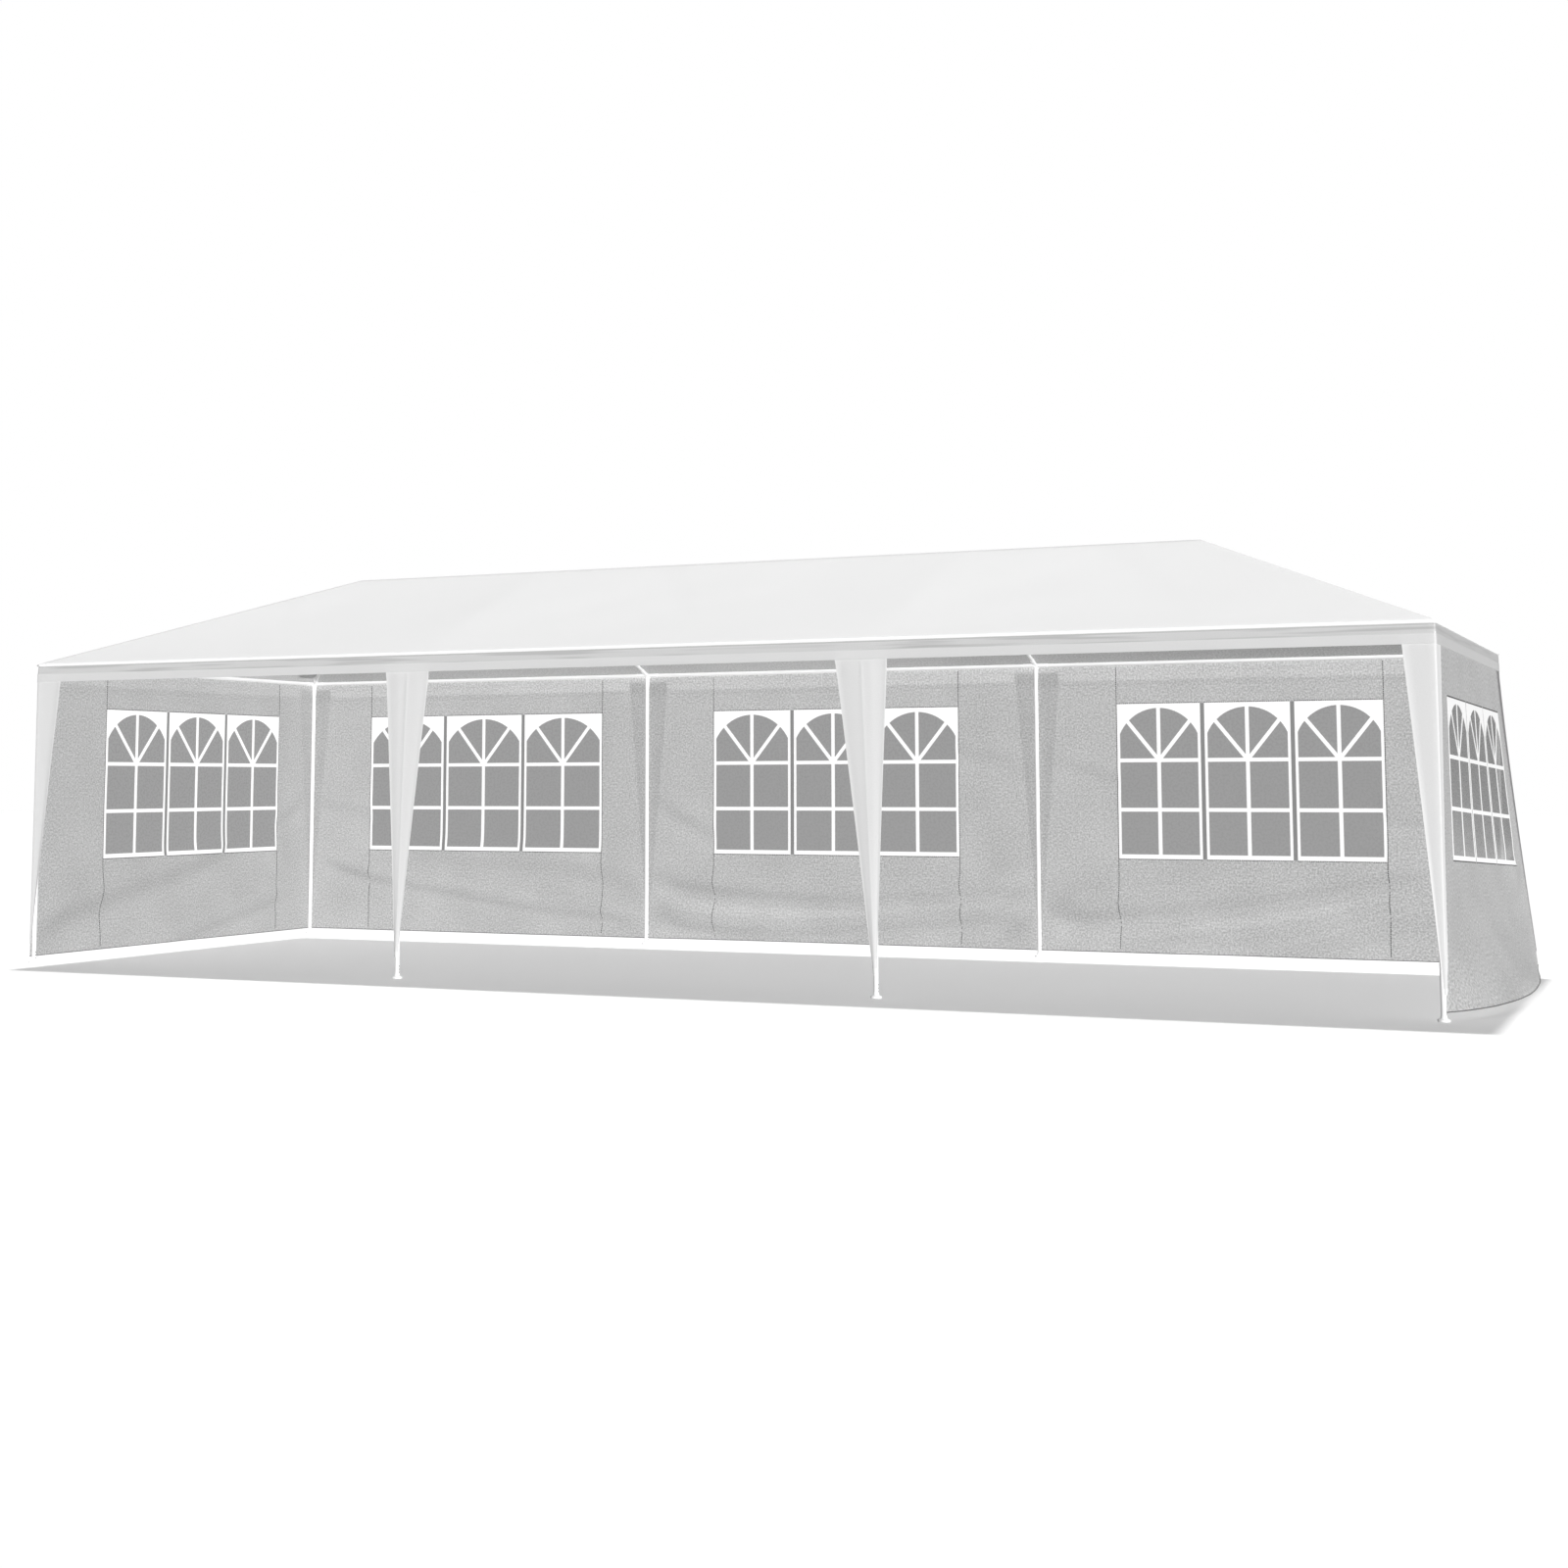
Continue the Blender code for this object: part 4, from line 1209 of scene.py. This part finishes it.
def ridge_top(column):
    """Where the ridge's line meets the rafters of one row of legs."""
    x = min(max(LEG_X[column], MIDDLE_X - RIDGE_HALF), MIDDLE_X + RIDGE_HALF)
    return Vector((x, 0, RIDGE_HEIGHT))


def make_joint_details():
    """Beads, push buttons and gussets of the joints at the eaves and along the ridge."""
    shapes = Shapes()
    down = Vector((0, 0, -1))

    def dress_sleeve(centre, along):
        """The bead and, on its underside, the button of a sleeve for a rail, rafter or ridge."""
        shapes.take(*bead(centre, along, RAIL_SLEEVE_RADIUS))
        under = (down - along * down.dot(along)).normalized()
        place = centre + along * RAIL_BUTTON_PLACE + under * (RAIL_SLEEVE_RADIUS - BUTTON_SINK)
        shapes.take(*button(place, under, RAIL_BUTTON))

    for i in range(BAYS + 1):
        eaves = [Vector((FRONT_LEG_X[i], -HALF_DEPTH, RAIL_HEIGHT)),
                 Vector((LEG_X[i], HALF_DEPTH, RAIL_HEIGHT))]
        for centre in eaves:
            inward = Vector((0, -math.copysign(1, centre.y), 0))
            rails = [Vector((step, 0, 0)) for step in (-1, 1) if 0 <= i + step <= BAYS]
            if i in (0, BAYS):
                rails.append(inward)
            for along in rails + [(ridge_top(i) - centre).normalized()]:
                dress_sleeve(centre, along)
            shapes.take(*bead(centre, down, LEG_SLEEVE_RADIUS))
            place = centre + down * LEG_BUTTON_PLACE + inward * (LEG_SLEEVE_RADIUS - BUTTON_SINK)
            shapes.take(*button(place, inward, LEG_BUTTON))
            for along in rails:
                shapes.take(*gusset(centre, along, down))
        near = [ridge_top(k) for k in (i - 1, i + 1) if 0 <= k <= BAYS]
        for target in eaves + near:
            dress_sleeve(ridge_top(i), (target - ridge_top(i)).normalized())
    add_piece("joint_fittings", shapes, [JOINT_COAT], sharp=40)


def dress_frame():
    """Gives the tubes and joints, whose shape is right, their coated metal."""
    for name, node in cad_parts.items():
        if name.startswith(("leg", "rail", "hip", "rafter", "ridge", "eave")):
            for slot in node.material_slots:
                slot.material = JOINT_COAT if "joint" in name else TUBE_COAT


# Studio


def make_floor():
    """The pale floor; less light comes back up from it than it shows, so that folds stay clear."""
    mesh = bpy.data.meshes.new("floor")
    corners = [(a * FLOOR_HALF, b * FLOOR_HALF, 0) for a, b in ((-1, -1), (1, -1), (1, 1), (-1, 1))]
    mesh.from_pydata(corners, [], [(0, 1, 2, 3)])
    floor = bpy.data.objects.new("floor", mesh)
    bpy.context.scene.collection.objects.link(floor)
    material, tree, shader, place = blank_material("pale_floor")
    tint = blend(tree, noise_in(tree, place, scale=0.6, detail=2.0), 0.945, 0.955)
    rays = add_node(tree, "LightPath")
    feed(tree, shader, Base_Color=blend(tree, rays.outputs["Is Diffuse Ray"], tint, FLOOR_BOUNCE),
         Roughness=0.9, Specular_IOR_Level=0.0)
    mesh.materials.append(material)
    floor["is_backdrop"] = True


def make_world():
    """The camera sees white, and the tent is lit by a softer even light."""
    world = bpy.data.worlds.new("studio")
    bpy.context.scene.world = world
    world.use_nodes = True
    tree = world.node_tree
    lit = tree.nodes["Background"]
    feed(tree, lit, Color=grey(1), Strength=AMBIENT)
    seen = add_node(tree, "Background", Color=grey(1), Strength=1.0)
    rays = add_node(tree, "LightPath")
    mix = add_node(tree, "MixShader", n_0=rays.outputs["Is Camera Ray"], n_1=lit.outputs[0],
                   n_2=seen.outputs[0])
    feed(tree, tree.nodes["World Output"], Surface=mix.outputs[0])


def make_lamp(name, strength, drop, angle):
    light = bpy.data.lights.new(name, "SUN")
    light.energy = strength * math.pi
    light.angle = math.radians(angle)
    lamp = bpy.data.objects.new(name, light)
    lamp.rotation_euler = Vector(drop).to_track_quat("-Z", "Y").to_euler()
    bpy.context.scene.collection.objects.link(lamp)
    return lamp


def linked(name, pieces):
    """A collection of pieces that a lamp treats in their own way."""
    group = bpy.data.collections.new(name)
    for piece in pieces:
        group.objects.link(piece)
    return group


def make_lights(canopy, valance, back_drapes):
    """A lamp over the tent, which only its roof shades, and a soft lamp without a shadow.

    The third lamp stands for light off the ground behind. It comes through the thin walls,
    where the drapes outside show as darker bands.
    """
    over = make_lamp("overhead_lamp", *OVER_LAMP)
    over.light_linking.blocker_collection = linked("roof_shades", [canopy, valance])
    front = make_lamp("front_lamp", *FRONT_LAMP)
    front.data.use_shadow = False
    left_out = linked("front_lamp_leaves_out", back_drapes)
    for link in left_out.collection_objects:
        link.light_linking.link_state = "EXCLUDE"
    front.light_linking.receiver_collection = left_out
    behind = make_lamp("behind_lamp", *BEHIND_LAMP)
    behind.light_linking.blocker_collection = linked("back_drapes", back_drapes)


def make_camera():
    """The camera fitted to the photograph, with its optical axis above the frame's middle."""
    lens = bpy.data.cameras.new("camera")
    lens.sensor_fit = "HORIZONTAL"
    lens.sensor_width = SENSOR_WIDTH
    lens.lens = FOCAL_PIXELS / FRAME_PIXELS * SENSOR_WIDTH
    lens.shift_y = (AXIS_ROW - FRAME_PIXELS / 2) / FRAME_PIXELS
    lens.clip_end = VIEW_REACH
    camera = bpy.data.objects.new("camera", lens)
    camera.matrix_world = Matrix.Translation(CAMERA_PLACE)
    for degrees, axis in CAMERA_TURNS:
        camera.matrix_world @= Matrix.Rotation(math.radians(degrees), 4, axis)
    bpy.context.scene.collection.objects.link(camera)
    bpy.context.scene.camera = camera


def make_tent():
    """Makes every piece, and returns those that the lamps treat in their own way."""
    dress_frame()
    canopy = make_canopy()
    valance = make_valance()
    back_drapes = []
    for i, shift in zip((1, 2), FRONT_DRAPE_TOP_SHIFTS):
        front, back = f"leg_drape_front_{i + 1}", f"leg_drape_back_{i + 1}"
        make_flat_drape(front, FRONT_LEG_X[i], shift, -1, None, FRONT_DRAPE_CURL)
        node = f"drape_back_{i + 1}"
        back_drapes.append(make_flat_drape(back, LEG_X[i], 0.0, 1, node, BACK_DRAPE_CURL))
    for i, side_x in ((0, -1), (BAYS, 1)):
        front, back = f"leg_drape_front_{i + 1}", f"leg_drape_back_{i + 1}"
        make_corner_drape(front, LEG_X[i], side_x, -1, None)
        node = f"drape_back_{i + 1}"
        back_drapes.append(make_corner_drape(back, LEG_X[i], side_x, 1, node))
    for i, group in enumerate(BACK_WINDOW_GROUPS):
        left = -BAY / 2 - (WALL_OUT if i == 0 else -WALL_SEAM)
        right = BAY / 2 + (WALL_OUT if i == BAYS - 1 else -WALL_SEAM)
        make_wall(Wall(f"back_{i + 1}", left, right, group))
    front, rear = -HALF_DEPTH - WALL_OUT, HALF_DEPTH + WALL_OUT - WALL_CORNER
    make_wall(Wall("left", front, rear, LEFT_WINDOW_GROUP))
    askew = (RIGHT_WINDOW_FEET, RIGHT_WINDOW_HEADS)
    make_wall(Wall("right", front, rear, RIGHT_WINDOW_GROUP, askew))
    make_feet()
    make_joint_details()
    return canopy, valance, back_drapes


make_camera()
make_floor()
make_world()
make_lights(*make_tent())
bpy.context.scene.view_settings.view_transform = "Standard"

bpy.context.view_layer.update()
corners = [[list(map(float, corner)) for corner in box] for box in (CAD_BOUNDS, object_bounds())]
